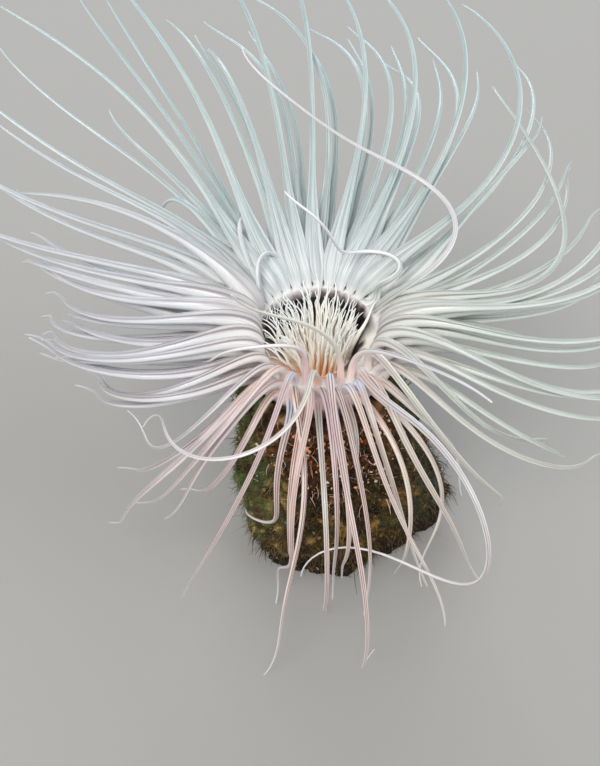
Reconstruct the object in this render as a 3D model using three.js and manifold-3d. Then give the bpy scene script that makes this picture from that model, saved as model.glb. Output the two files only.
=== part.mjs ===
// Tube anemone (tube-dwelling anemone, Ceriantharia), life size, in millimetres, +Z up.
// It stands on the flat foot of its tube. The tube is felted mucus and sand, the column rises
// in it, and the crown leans a little towards -Y (the front).
// Two sets of tentacles: long ones round the margin of the oral disc, in three rows, and a
// tuft of short labial ones round the mouth.
import * as THREE from 'three';
import { mergeVertices } from 'three/addons/utils/BufferGeometryUtils.js';
import Module from 'manifold-3d';

const wasm = await Module();
wasm.setup();

// ---------- driving dimensions (mm, degrees) ----------
const GAP = 0.3;                 // clearance between neighbouring pieces
const CROWN = [-7, -5, 120];     // middle of the crown, level with the margin of the disc
const LEAN = 11;                 // lean of the crown towards the front
const FOOT = [0, 0];             // middle of the tube's foot
const TUBE_TOP = 24;             // depth of the tube's mouth below the disc margin
const TUBE_CUT = 0.46;           // where the tube is parted, as a share of its height
const SOCKET_R = 24.6;           // bore of the tube
const COLUMN_FOOT = 46;          // how far the column reaches below the disc margin
const DISC_R = 23.4;             // outer radius of the oral disc
const SECTORS = 36;              // marginal sectors round the crown
const LABIAL_SECTORS = 7;
const LENGTH_UNIT = 1;
const STEPS = 56;                // steps along a marginal tentacle
const LABIAL_STEPS = 18;
const RISE_FADE = 0.07;          // how soon the bend at a tentacle's root fades out
const CORNER = 1.15;             // corner radius of a section over the tentacle's own radius

// the margin's outline (radius, height): its first three faces carry a row of tentacles each
const RIM = [[24.4, 0.55], [27.9, -0.6], [30.9, -2.6], [33.2, -6.0], [32.9, -8.8], [31.4, -10.6], [23.7, -10.6], [23.7, -0.7]];
// the three rows: radius, height, turn from the sector's middle
const ROWS = [
  { r: 26.15, z: -0.03, turn: -1 },
  { r: 29.4, z: -1.6, turn: 1 },
  { r: 32.05, z: -4.3, turn: -1 },
];
const MARGINAL_ROOT = 1.45, MARGINAL_TIP = 0.34, MARGINAL_FOOT = 1.5;
const SWELL = 0.55, SWELL_FADE = 9;   // a tentacle is thicker close to its root
const TAPER = 1.7, SLENDER_TAPER = 0.8;
// short, thin or strongly bent tentacles that taper sooner: [sector, row]
const SLENDER = [[29, 0], [26, 0], [30, 0], [15, 0], [14, 0], [4, 0], [3, 0], [31, 0], [27, 0], [23, 0]];
// those in front are thinner and taper sooner, and no two are quite alike
const FRONT_SLIM = 0.17, FRONT_TAPER = 0.6, UNLIKE = [0.05, 0.09];
// the funnel of the oral disc, from the mouth to the margin (radius, height)
const FUNNEL = [[0, -20.5], [4, -19.4], [5.6, -18.4], [8, -16.6], [14, -11.2], [20, -4.9], [24.4, -0.6]];
// the labial tentacles: edges of their rings on the funnel, the rings, and the tentacles' radii
const LABIAL_EDGES = [4.6, 7.6, 10.4, 13.2];
const RINGS = [{ r: 6.1, turn: 0 }, { r: 9.0, turn: 5 }, { r: 11.8, turn: -5 }];
const LABIAL_COLUMNS = 2;
const LABIAL_ROOT = 0.85, LABIAL_TIP = 0.36;
// how they stand, at the back, front, left and right of the mouth: rise in degrees and length
const LABIAL_STAND = { back: [72, 28], front: [89, 26], left: [66, 27], right: [80, 26] };
const RING_FALL = 4, RING_SHORTER = 3.5;   // each ring further out lies lower and is shorter
const LEFT_SWEEP = 15;                     // those on the left turn a little towards the back

// spacing of a tentacle's sections: degrees of bend per section, least number along its length
const COARSE = [40, 2.1];
const FINE = [26, 3.6];
// sectors whose tentacles pass close by others, with the finer spacing
const CLOSE = [3, 5, 10, 12, 15, 31];
// bend laws of the marginal tentacles, sector by sector, inner row first:
// [length, root lift, pitch: mean, drop, sag, curl, heading: mean, swing, sway, twist]
const MARGINAL = [
  [174.9, 67.4, -1.2, -13.7, -4.5, -12.7, 23.8, 37.3, -10.1, -19.1], [169.1, 48.9, -5.7, -16.8, 2, -5.4, 28, 39.9, -8.4, -20.6], [106.9, -25.5, -17.1, -41.4, 34.8, -2.3, 34.2, 46.8, -7, -26.2],
  [181.9, 79.1, 1, 0.8, -23.9, -12.1, 25.2, 36.4, -13.3, -21.2], [184, 61.2, -5, -4.7, -15.7, 1.7, 25.5, 39.7, -7.4, -20], [148.1, 15.4, -9.4, -16.3, 1.2, 3.2, 24.1, 39.4, -6.2, -21],
  [212.3, 11.6, 9.2, -6, -19.2, -39.7, 44.3, 61.8, -39.3, -46.1], [163, 14.1, 2, -14, -8, -0.7, 26.3, 37.9, -5.8, -19.2], [150, 12.4, -0.4, -14.5, -5.7, 4.6, 19.5, 34.5, -4.1, -16.9],
  [181.1, -61.8, 36, -13.6, 26.4, -33.9, 84.8, 111.8, -94.7, -33.8], [194, 29.1, 3.2, -11.5, -17.4, 8.3, 28.6, 41.9, -3.3, -19.1], [150.4, 12.9, 5.1, -12.7, -12.3, 9.6, 16.5, 31.3, -1.3, -11.9],
  [116.1, 87.1, 29.9, -9.3, -3, -70.6, 95.3, 121.5, -207.2, 15.3], [205.3, 25.7, 7.8, -9.6, -18.4, 10.4, 22.8, 34.2, 9.1, -13.9], [152.8, 5, 11.7, -21.7, -9.8, 18.4, 12.4, 23.4, 4.1, -2.1],
  [185.4, 28.9, 22.6, -12.6, -18.8, -2.6, 16.8, 57.7, 5.9, -28.3], [170.7, 9.4, 18.5, -24.2, -2.2, 11, 23.8, 38.4, 4.7, -12.7], [150.5, 9.7, 18.2, -25, -4.7, 14.4, 14.1, 20.9, 6.7, -5.4],
  [167.6, 23.6, 32.6, -17.2, -26.4, 2.4, 10.5, 49.1, 8.9, -22.2], [167.2, 7.5, 15.5, -31.4, 0.6, 18.9, 20.3, 33, 4, -13.9], [150, 14.9, 18.4, -21.1, -8.1, 12.7, 11.4, 23.5, 4.2, -9.1],
  [169.8, 30.3, 28.9, -20.2, -25.7, 7, 12.4, 39.9, 3.8, -20.5], [164, 14.7, 20.2, -25, -10.5, 13.1, 14.4, 29.4, 4, -13.9], [149.6, 14.8, 20.2, -19.3, -11.2, 10.8, 8.3, 22.8, 3, -10.4],
  [168.9, 16.6, 29.6, -22.4, -17.3, 1.9, 9.9, 24.6, 6.1, -12], [166.5, 22.7, 18.3, -24.8, -15.1, 14.8, 10.2, 28.6, 4.1, -14.3], [150, 14.8, 20.7, -17.8, -13.2, 9.7, 5.5, 21.1, 2.5, -10.7],
  [178.8, 18.6, 31.4, -17.6, -20.2, -2.1, 9.3, 10.6, 10.4, -4.5], [171.8, 32.1, 24.3, -18.2, -26.9, 14.4, 11.6, 28.3, 0.5, -16.4], [150.1, 15.1, 21.9, -14.3, -15, 8.3, 4, 18.7, 1.3, -10.5],
  [180.1, 20.4, 28.5, -19.6, -19.2, 0, 7.9, 4, 1.5, -8.6], [174.3, 7.8, 19, -25.8, -6.5, 12.5, 6.9, 16.3, -0.5, -10.1], [150.3, 14.3, 21.5, -10.9, -11.5, 6.2, 2.3, 13.8, 0.5, -8.5],
  [170.6, 14.8, 17.1, -43.4, -9.3, 18.2, -0.4, -10.6, -5.8, -2.1], [177, 20.9, 17.9, -19.1, -15.7, 7.8, 2.4, 2.6, -3.7, 0.8], [149.9, 14.7, 21.7, -1, -8.6, 0.6, 1.7, 9.6, -0.2, -6.8],
  [172.7, 10.4, 33.8, -10.8, -8.5, 1.7, 6.5, -0.1, 3, -12.3], [175.7, 11.6, 26.1, 7.1, -1.6, -0.2, 7.1, 5.3, 1.4, -7.4], [180.8, 18.2, 23.6, 19, -3.6, -6.6, 3.9, 10, 1, -9.7],
  [173.1, 22.3, 29.5, -1.9, -7.5, -0.9, 15, 16.5, 6.4, -12.9], [93.2, 17.5, -3.6, -53, -34.7, -0.6, 2.6, -3.4, 4.1, 4], [158.2, 12.3, 7.6, -14.9, 2.9, 5.7, -5.2, -8.7, -6.6, -0.3],
  [79.4, 21.5, -10.5, -80.4, -10.2, 27.1, -43.3, -46.8, 19.7, 10.6], [187.9, 8.5, 17.9, 2.7, 7, -18.9, 5, 7.2, -12.6, -10.8], [188.8, 14.5, 18.2, 13.5, 7.3, -8.8, -1.6, 18.7, -6, -17.3],
  [50.1, 8.4, -0.9, -103, 2.3, 46, -71.7, -58.3, 41.1, 14.4], [178.8, 17.9, 11.2, -6.3, 8.2, -13.3, 1.6, -7.9, -11.1, -4.3], [162.9, 1.7, 14.4, -13.1, 15.2, -13.5, -6.3, 2.4, -9.3, -4.9],
  [175, 41.7, -0, -36.7, 9.6, 4.3, -16.2, -25.2, -11.4, -5.2], [179.2, 47, -0.6, -13.4, -0.8, -1.7, -7.6, -23.1, -9.1, 2.9], [158.7, 13.8, 7.6, -17.6, 3.6, -13.5, -11.2, -14, -13, 2.1],
  [186.5, 93.8, -8.3, -11.4, -5.9, 3.2, -21.2, -34.7, -0.7, 5.4], [166.4, 83.4, -13.3, -22.3, -9.1, 18.3, -26.1, -43.5, 1.8, 15.3], [137.9, 15.5, -1.2, -24.9, 1.9, -2.6, -24.2, -27.7, -2.2, 9.5],
  [153.2, 88.7, -7.6, -18, -0.5, -6.5, -29.1, -43.8, 7.9, 14.2], [143.6, 93.9, -21, -19.7, -0.1, 15, -36, -52.9, 14.6, 24.2], [157.1, 37.7, -9.9, -25.9, -4, 5.1, -36.3, -36.8, 5.9, 14.7],
  [150.1, 93.1, -13.2, -22.6, 4.6, -5, -37.6, -49.4, 14.8, 21.2], [143.9, 132.2, -22.3, -10.3, -11.3, 27.9, -43.9, -55.2, 24.6, 22.7], [158.2, 35.1, -18.2, -21.7, 2.9, 2.5, -46, -44.5, 15.9, 22.6],
  [163.3, 142.2, -23.2, -10.4, -10.2, 4.8, -47.3, -54.5, 16.6, 28.9], [143.5, 87.3, -19.6, -17.2, 9.1, 20, -43.5, -55.4, 24.8, 21.4], [136.7, 15, -15.3, -23.9, 7.2, 4.7, -48.2, -45.2, 21.2, 22.2],
  [155.6, 98.7, -15.5, -15.7, 6, 8.9, -50.2, -54.6, 21.1, 26.7], [143.4, 97.2, -15, -7.1, -0.1, 26.4, -52.5, -56.3, 27.1, 21.4], [127.2, 16.2, -15.5, -26.4, 5.6, 8.2, -55.2, -46.2, 24.9, 22.8],
  [125.3, 79.5, -17.7, -8.9, 16.7, 2, -58.3, -62.8, 22.6, 31.4], [125.4, 56.5, -15.2, -14.1, 10.5, 13.6, -61.3, -66.4, 30.6, 28.7], [119.2, 23.7, -18.6, -16.2, 14.6, 7.2, -62.1, -55.6, 27.4, 25.2],
  [121.5, 16.3, -22.5, -10.9, 50.8, -17.6, -63.7, -75.4, 17.1, 30.2], [152.8, 43.6, -42.5, -21.7, 24.2, 2.5, -62.4, -72, 17.3, 25.3], [111.6, 14.9, -33.6, -16.6, 25.9, -4.4, -61.1, -63.6, 21.9, 29],
  [127.5, 23.2, -33.5, -38.4, 46.2, -8.6, -54.2, -70.2, 7.9, 22.6], [106.3, 11, -41, -44.4, 41.7, -5.1, -54.8, -62.6, 2.9, 17.2], [92.4, 13.6, -42.3, -11.9, 36.3, -16.1, -63.3, -74.7, 20.2, 36.1],
  [151, 47.3, -48.2, -40.6, 32.5, -11.7, -51.8, -77.2, -0.8, 19.9], [148.3, 83.7, -60.2, -32, 14.5, 14.2, -17.1, -63.5, -12.2, 16.9], [104.2, 17.5, -92.4, -80.5, 18.6, 13.3, 29.3, 23.4, -3.6, -32.3],
  [82.2, -3.9, 9.5, -80.7, 24.6, 25.9, -72.9, -85.8, 3.3, 19.1], [161.3, 89.9, -79.8, -52, 41.6, 36.7, 9.4, 6.4, -3.2, -28.5], [110.6, 17, -77.5, -63.4, 25.5, 21.3, 5.5, 1.7, -5.3, -12.3],
  [155.7, 8.2, -9.3, -43.7, 13.9, -27.9, -86.9, -93.6, 21.8, 61.3], [122.8, 67.4, -64.7, -58.3, 26.6, 16.5, 3.1, -8.7, -6.7, -6.9], [153.9, 20.3, -76.3, -72.1, 20.2, 25.7, 1.6, -6, -6, -1.3],
  [173, 84.3, -60, -78.2, -18.9, -4.8, -4.2, -7, -22.1, -9.9], [120.9, 53.3, -57.7, -57.6, 17.1, 0, 8.2, 6.6, -7.2, -6.7], [112, 13.3, -69.5, -69.8, 21.9, 25.3, -3.4, -5.2, -5.7, -1],
  [96.4, -2.2, 52.6, -18.8, 20.2, 4, -55.4, -10.7, 20.5, -3.5], [118.2, 42.4, -45.7, -36.8, 17.9, -18.3, 17.1, 23.5, -10.8, -12.9], [52.5, 11, -76.3, -83.7, 29.3, 43.8, -16.1, -12.2, -2.1, 6.7],
  [107.3, 6.6, 34.8, -26.7, 14.1, -10.9, -4.9, 3.5, -3.8, 1.1], [109.8, 73, -59.3, -26.3, 23, -4.8, 20.4, 40.8, -12, -10.6], [131.8, 14.9, -80.5, -61.1, 20.9, 15.2, -15.8, -21.8, 9.4, 10.7],
  [216.6, 70.8, -80, -103.4, 9.8, 80, 3.3, 36.6, 20.1, 16.3], [133.4, 74.3, -55.5, -20.9, 15.3, 3.1, 35.8, 62.8, -9.8, -21.5], [121.2, 8, -69.4, -44.5, 31.2, 12.4, 15.8, 7, -6.2, 6.9],
  [138.6, 58.9, -37.3, -39.2, 32.6, -19.8, 38.3, 85.7, 3.4, -5.1], [163.9, 97.1, -28.9, -8.6, 5.1, -1.8, 46.7, 66.5, -9.5, -26.6], [79, 29.4, -51.9, -40.3, 9.7, 9.5, 38.9, 49.2, -18.3, -21],
  [132.9, 9, -23.1, -44.6, 39.3, -41.7, 30.8, 69.3, -0.1, -8.8], [176.7, 95.5, -22.6, -14.9, -2.1, -2.6, 39, 52.6, -6.4, -24.5], [145.9, 11.4, -30.1, -30.2, 22.7, -5.6, 47.7, 65.2, -9.1, -33.1],
  [180.9, 76.2, -16.3, -19.9, 9.2, -17.1, 27.1, 47.2, -4.9, -20.3], [175.7, 69.7, -14.8, -9.5, 2.8, -19, 32.2, 44.5, -5.5, -24.9], [162.5, 33.9, -14.8, -20.4, 3.4, -5.4, 32.5, 46.7, -9.4, -25.7],
  [176.1, 76.4, -8.2, -15.5, 1.2, -14.6, 24.7, 40, -7.5, -18.9], [176.3, 74.2, -10.7, -7.1, -3.9, -9.7, 29.8, 42, -9, -23.1], [148.6, 15.6, -14.8, -23.6, 11.8, -3.9, 29.9, 44, -8.5, -24.6],
];
// the most strongly bent tentacles, parted into two lengths: [sector, row, share of the length, name]
const PARTED = [
  [31, 0, 0.5, 'tentacle_front_loop_end'],
  [3, 0, 0.5, 'tentacle_crossing_end'],
  [2, 0, 0.55, 'tentacle_right_swept_end'],
  [27, 0, 0.5, 'tentacle_front_left_end'],
  [4, 0, 0.5, 'tentacle_back_arch_end'],
  [23, 0, 0.55, 'tentacle_left_hook_end'],
];

// ---------- small helpers ----------
const D2R = Math.PI / 180;
const sinL = Math.sin(LEAN * D2R), cosL = Math.cos(LEAN * D2R);
// from the crown's own frame to the model's
function fromCrown(x, y, z) {
  return new THREE.Vector3(CROWN[0] + x, CROWN[1] + y * cosL - z * sinL, CROWN[2] + y * sinL + z * cosL);
}
function bend(u) { const x = 2 * u - 1; return [1, x, (3 * x * x - 1) / 2, (5 * x * x * x - 3 * x) / 2]; }
// a repeatable unevenness from -1 to 1
function uneven(i, j) { const s = Math.sin(i * 127.1 + j * 311.7) * 43758.5453; return 2 * (s - Math.floor(s)) - 1; }
function dot(a, b) { let s = 0; for (let i = 0; i < Math.min(a.length, b.length); i++) s += a[i] * b[i]; return s; }

// the centre line that a bend law gives, from the root outwards
function centreLine(root, azimuth, law, steps, lifted) {
  const L = law[0] * LENGTH_UNIT;
  const lift = lifted ? law[1] : 0;
  const pitch = lifted ? law.slice(2, 6) : law.slice(1, 4);
  const head = lifted ? law.slice(6, 10) : law.slice(4, 7);
  const pts = [root.clone()];
  for (let i = 0; i < steps; i++) {
    const u = (i + 0.5) / steps, b = bend(u);
    const th = (lift * Math.exp(-u / RISE_FADE) + dot(pitch, b)) * D2R;
    const ps = (azimuth + dot(head, b)) * D2R;
    const d = new THREE.Vector3(Math.cos(th) * Math.cos(ps), Math.cos(th) * Math.sin(ps), Math.sin(th));
    pts.push(pts[i].clone().addScaledVector(d, L / steps));
  }
  return pts;
}
// stations along a centre line: close together where it bends, far apart where it is straight
function stations(pts, from, to, perBend, base) {
  const m = [0];
  for (let i = from + 1; i <= to; i++) {
    let turn = 0;
    if (i > from + 1) {
      const a = pts[i].clone().sub(pts[i - 1]).normalize(), b = pts[i - 1].clone().sub(pts[i - 2]).normalize();
      turn = Math.acos(Math.min(1, a.dot(b))) / D2R;
    }
    m.push(m[m.length - 1] + base / (pts.length - 1) + turn / perBend);
  }
  const total = m[m.length - 1], n = Math.max(2, Math.round(total));
  const out = [];
  for (let k = 0; k <= n; k++) {
    const want = total * k / n;
    let i = 0;
    while (i < m.length - 2 && m[i + 1] < want) i++;
    const f = (want - m[i]) / (m[i + 1] - m[i]);
    out.push({ p: pts[from + i].clone().lerp(pts[from + i + 1], Math.min(1, Math.max(0, f))), u: (from + i + f) / (pts.length - 1) });
  }
  return out;
}
// the sections of a tapering stem through stations {p, r}: added after the ring of vertices that
// starts at `first`, with the first station left out, and closed by a flat tip
function stem(pos, idx, first, st, sides, side0) {
  let across = side0.clone(), last = first;
  for (let k = 1; k < st.length; k++) {
    const a = st[k - 1].p, b = st[Math.min(st.length - 1, k + 1)].p;
    const t = b.clone().sub(a).normalize();
    across = across.clone().addScaledVector(t, -across.dot(t)).normalize();
    const up = new THREE.Vector3().crossVectors(t, across);
    const next = pos.length / 3;
    for (let j = 0; j < sides; j++) {
      const g = 2 * Math.PI * (j + 0.5) / sides;
      const q = st[k].p.clone().addScaledVector(across, Math.cos(g) * st[k].r).addScaledVector(up, Math.sin(g) * st[k].r);
      pos.push(q.x, q.y, q.z);
    }
    for (let j = 0; j < sides; j++) {
      const p = last + j, q = last + (j + 1) % sides, r = next + j, s = next + (j + 1) % sides;
      idx.push(p, q, s, p, s, r);
    }
    last = next;
  }
  for (let j = 1; j < sides - 1; j++) idx.push(last, last + j, last + j + 1);
}
// a closed tapering length with `sides` sides
function length(st, sides, side0) {
  const t = st[1].p.clone().sub(st[0].p).normalize();
  const across = side0.clone().addScaledVector(t, -side0.dot(t)).normalize();
  const up = new THREE.Vector3().crossVectors(t, across);
  const pos = [], idx = [];
  for (let j = 0; j < sides; j++) {
    const g = 2 * Math.PI * (j + 0.5) / sides;
    const q = st[0].p.clone().addScaledVector(across, Math.cos(g) * st[0].r).addScaledVector(up, Math.sin(g) * st[0].r);
    pos.push(q.x, q.y, q.z);
  }
  for (let j = 1; j < sides - 1; j++) idx.push(0, j + 1, j);
  stem(pos, idx, 0, st, sides, across);
  const g = new THREE.BufferGeometry();
  g.setAttribute('position', new THREE.Float32BufferAttribute(pos, 3));
  g.setIndex(idx);
  return g;
}
// a closed sector of a ring with tentacles growing from its faces. The profile runs from the inner
// edge over the top and back underneath; `sprouts` says what grows from which face.
function bed(profile, mid, half, columns, sprouts) {
  const pos = [], idx = [], m = profile.length;
  const put = (p) => { pos.push(p.x, p.y, p.z); return pos.length / 3 - 1; };
  const grid = [];
  for (let k = 0; k <= columns; k++) grid.push(profile.map(([r, z]) => {
    const inset = Math.asin(GAP / 2 / r), a = mid * D2R + (half * D2R - inset) * (2 * k / columns - 1);
    return put(fromCrown(r * Math.cos(a), r * Math.sin(a), z));
  }));
  const at = (i) => new THREE.Vector3(pos[3 * i], pos[3 * i + 1], pos[3 * i + 2]);
  for (let k = 0; k < columns; k++) for (let j = 0; j < m; j++) {
    const j2 = (j + 1) % m;
    const quad = [grid[k][j2], grid[k + 1][j2], grid[k + 1][j], grid[k][j]];
    const sprout = sprouts.find((q) => q.column === k && q.face === j);
    if (!sprout) { idx.push(quad[0], quad[1], quad[2], quad[0], quad[2], quad[3]); continue; }
    // the foot of the tentacle lies in the face: its axes run along the margin and up the face
    const c = quad.map(at);
    const along = c[1].clone().sub(c[0]).normalize();
    const normal = new THREE.Vector3().crossVectors(along, c[3].clone().sub(c[0])).normalize();
    const upFace = new THREE.Vector3().crossVectors(normal, along);
    const foot = sprout.foot.clone().addScaledVector(normal, -sprout.foot.clone().sub(c[0]).dot(normal));
    const n = sprout.sides, first = pos.length / 3;
    for (let i = 0; i < n; i++) {
      const g = 2 * Math.PI * (i + 0.5) / n;
      put(foot.clone().addScaledVector(along, Math.cos(g) * sprout.footRadius).addScaledVector(upFace, Math.sin(g) * sprout.footRadius));
    }
    const flat = (v) => new THREE.Vector2(v.clone().sub(c[0]).dot(along), v.clone().sub(c[0]).dot(upFace));
    const outline = c.map(flat), hole = [];
    for (let i = 0; i < n; i++) hole.push(first + i);
    const all = [...quad, ...hole], flats = all.map((i) => flat(at(i)));
    for (const t of THREE.ShapeUtils.triangulateShape(outline, [hole.map((i) => flat(at(i)))])) {
      const [p, q, r] = t.map((i) => flats[i]);
      const turn = (q.x - p.x) * (r.y - p.y) - (q.y - p.y) * (r.x - p.x);
      const w = t.map((i) => all[i]);
      if (turn > 0) idx.push(w[0], w[1], w[2]); else idx.push(w[0], w[2], w[1]);
    }
    stem(pos, idx, first, sprout.stations, n, along);
  }
  const outline = profile.map(([r, z]) => new THREE.Vector2(r, z));
  for (const t of THREE.ShapeUtils.triangulateShape(outline, [])) {
    const [p, q, r] = t.map((i) => outline[i]);
    const turn = (q.x - p.x) * (r.y - p.y) - (q.y - p.y) * (r.x - p.x);
    const [a, b, c] = turn > 0 ? t : [t[0], t[2], t[1]];
    idx.push(grid[0][a], grid[0][b], grid[0][c]);
    idx.push(grid[columns][a], grid[columns][c], grid[columns][b]);
  }
  const g = new THREE.BufferGeometry();
  g.setAttribute('position', new THREE.Float32BufferAttribute(pos, 3));
  g.setIndex(idx);
  return g;
}
// a turned solid in the crown's frame: closed profile, or one that starts and ends on the axis
function turned(profile, segments, phase = 0) {
  const g = new THREE.LatheGeometry(profile.map(([r, z]) => new THREE.Vector2(r, z)), segments);
  g.rotateX(Math.PI / 2);
  g.rotateZ(phase * D2R);
  const p = g.attributes.position;
  for (let i = 0; i < p.count; i++) {
    const q = fromCrown(p.getX(i), p.getY(i), p.getZ(i));
    p.setXYZ(i, q.x, q.y, q.z);
  }
  return g;
}
function toSolid(geometry) {
  let g = geometry.index ? geometry.clone() : geometry;
  g.deleteAttribute('normal'); g.deleteAttribute('uv');
  g = mergeVertices(g, 1e-4);
  const index = [];
  const s = g.index.array;
  for (let i = 0; i < s.length; i += 3) if (s[i] !== s[i + 1] && s[i + 1] !== s[i + 2] && s[i] !== s[i + 2]) index.push(s[i], s[i + 1], s[i + 2]);
  let solid = new wasm.Manifold(new wasm.Mesh({ numProp: 3, vertProperties: new Float32Array(g.attributes.position.array), triVerts: new Uint32Array(index) }));
  if (solid.volume() < 0) {
    for (let i = 0; i < index.length; i += 3) [index[i + 1], index[i + 2]] = [index[i + 2], index[i + 1]];
    solid = new wasm.Manifold(new wasm.Mesh({ numProp: 3, vertProperties: new Float32Array(g.attributes.position.array), triVerts: new Uint32Array(index) }));
  }
  return solid;
}
function fromSolid(solid) {
  const m = solid.getMesh();
  const pos = new Float32Array(m.numVert * 3);
  for (let i = 0; i < m.numVert; i++) for (let k = 0; k < 3; k++) pos[i * 3 + k] = m.vertProperties[i * m.numProp + k];
  const g = new THREE.BufferGeometry();
  g.setAttribute('position', new THREE.Float32BufferAttribute(pos, 3));
  g.setIndex(Array.from(m.triVerts));
  g.computeVertexNormals();
  return g;
}
const root = new THREE.Group();
root.name = 'tube_anemone';
const MATERIALS = {
  tube: { color: 0x4a3d24, roughness: 0.95 },
  column: { color: 0x8a6f66, roughness: 0.6 },
  disc: { color: 0x2c1524, roughness: 0.55 },
  mouth: { color: 0xd98a55, roughness: 0.5 },
  labial: { color: 0xeee6d2, roughness: 0.45 },
  marginal: { color: 0xd9dedd, roughness: 0.4 },
};
function add(name, solid, slot) {
  const geometry = solid.isBufferGeometry ? solid : fromSolid(solid);
  geometry.computeVertexNormals();
  const mesh = new THREE.Mesh(geometry, new THREE.MeshStandardMaterial({ name: `${name}_${slot}`, metalness: 0, ...MATERIALS[slot] }));
  mesh.name = name;
  root.add(mesh);
}

// ---------- marginal tentacles, a sector of the margin at a time ----------
const marginalRadius = (L, taper, thick) => (u) => MARGINAL_TIP + thick * (MARGINAL_ROOT - MARGINAL_TIP) * Math.pow(Math.max(0, 1 - Math.pow(u, taper)), 0.9)
  + SWELL * Math.exp(-u * L / SWELL_FADE);
const sized = (radius, corner) => (q) => ({ p: q.p, r: corner * radius(q.u) });
const ends = [];
for (let s = 0; s < SECTORS; s++) {
  const mid = s * 360 / SECTORS;
  const spacing = CLOSE.includes(s) ? FINE : COARSE;
  const sprouts = ROWS.map((row, k) => {
    const law = MARGINAL[s * ROWS.length + k], az = mid + row.turn, a = az * D2R;
    const foot = fromCrown(row.r * Math.cos(a), row.r * Math.sin(a), row.z);
    const line = centreLine(foot, az, law, STEPS, true);
    const cut = PARTED.find((p) => p[0] === s && p[1] === k);
    const upTo = cut ? Math.round(cut[2] * STEPS) : STEPS;
    const side = new THREE.Vector3(-Math.sin(a), Math.cos(a), 0);
    const front = Math.max(0, -Math.sin(a));
    const thick = 1 - FRONT_SLIM * front + (UNLIKE[0] + UNLIKE[1] * front) * uneven(s * ROWS.length + k, 9);
    const radius = marginalRadius(law[0], SLENDER.some((p) => p[0] === s && p[1] === k) ? SLENDER_TAPER : TAPER - FRONT_TAPER * front, thick);
    if (cut) {
      const end = stations(line, upTo, STEPS, ...spacing).map(sized(radius, CORNER));
      end[0].p = end[0].p.clone().addScaledVector(end[1].p.clone().sub(end[0].p).normalize(), 2 * GAP);
      ends.push([cut[3], length(end, 4, side)]);
    }
    return { column: 0, face: k, foot, footRadius: MARGINAL_FOOT * Math.SQRT2, sides: 4, stations: stations(line, 0, upTo, ...spacing).map(sized(radius, CORNER)) };
  });
  add(`marginal_tentacles_${String(s + 1).padStart(2, '0')}`, bed(RIM, mid, 180 / SECTORS, 1, sprouts), 'marginal');
}
for (const [name, solid] of ends) add(name, solid, 'marginal');

// ---------- labial tentacles ----------
function funnel(r) {
  for (let i = 1; i < FUNNEL.length; i++) if (r <= FUNNEL[i][0]) {
    const [a, za] = FUNNEL[i - 1], [b, zb] = FUNNEL[i];
    return za + (zb - za) * (r - a) / (b - a);
  }
  return FUNNEL[FUNNEL.length - 1][1];
}
const labialRadius = (u) => LABIAL_TIP + (LABIAL_ROOT - LABIAL_TIP) * (1 - Math.pow(u, 1.8));
const LABIAL_BED = [...LABIAL_EDGES.map((r) => [r, funnel(r)]), [13.2, -17.4], [4.6, -23.7]];
// the bend law of a labial tentacle: [length, pitch: mean, drop, sag, heading: mean, swing, sway]
function labialLaw(azimuth, ring, i) {
  const a = azimuth * D2R, b = Math.max(0, Math.sin(a)) ** 2, f = Math.max(0, -Math.sin(a)) ** 2;
  const l = Math.max(0, -Math.cos(a)) ** 2, r = Math.max(0, Math.cos(a)) ** 2, S = LABIAL_STAND;
  const [rise, long] = [0, 1].map((q) => b * S.back[q] + f * S.front[q] + l * S.left[q] + r * S.right[q]);
  return [long - RING_SHORTER * ring + 1.5 * uneven(i, 1), rise - RING_FALL * ring + 2 * uneven(i, 2), -5 + 3 * uneven(i, 3), 3 * uneven(i, 4),
    -LEFT_SWEEP * l + 3 * uneven(i, 5), 5 * uneven(i, 6), 3 * uneven(i, 7)];
}
const column = 360 / LABIAL_SECTORS / LABIAL_COLUMNS;
for (let s = 0; s < LABIAL_SECTORS; s++) {
  const sprouts = [];
  for (let c = 0; c < LABIAL_COLUMNS; c++) RINGS.forEach((ring, k) => {
    const az = (s * LABIAL_COLUMNS + c + 0.5) * column + ring.turn, a = az * D2R;
    const law = labialLaw(az, k, (s * LABIAL_COLUMNS + c) * RINGS.length + k);
    const foot = fromCrown(ring.r * Math.cos(a), ring.r * Math.sin(a), funnel(ring.r));
    const line = centreLine(foot, az, law, LABIAL_STEPS, false);
    sprouts.push({ column: c, face: k, foot, footRadius: 1.15 * LABIAL_ROOT, sides: 3, stations: stations(line, 0, LABIAL_STEPS, 42, 2.4).map(sized(labialRadius, 1.2)) });
  });
  add(`labial_tentacles_${s + 1}`, bed(LABIAL_BED, (s + 0.5) * 360 / LABIAL_SECTORS, 180 / LABIAL_SECTORS, LABIAL_COLUMNS, sprouts), 'labial');
}

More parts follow.
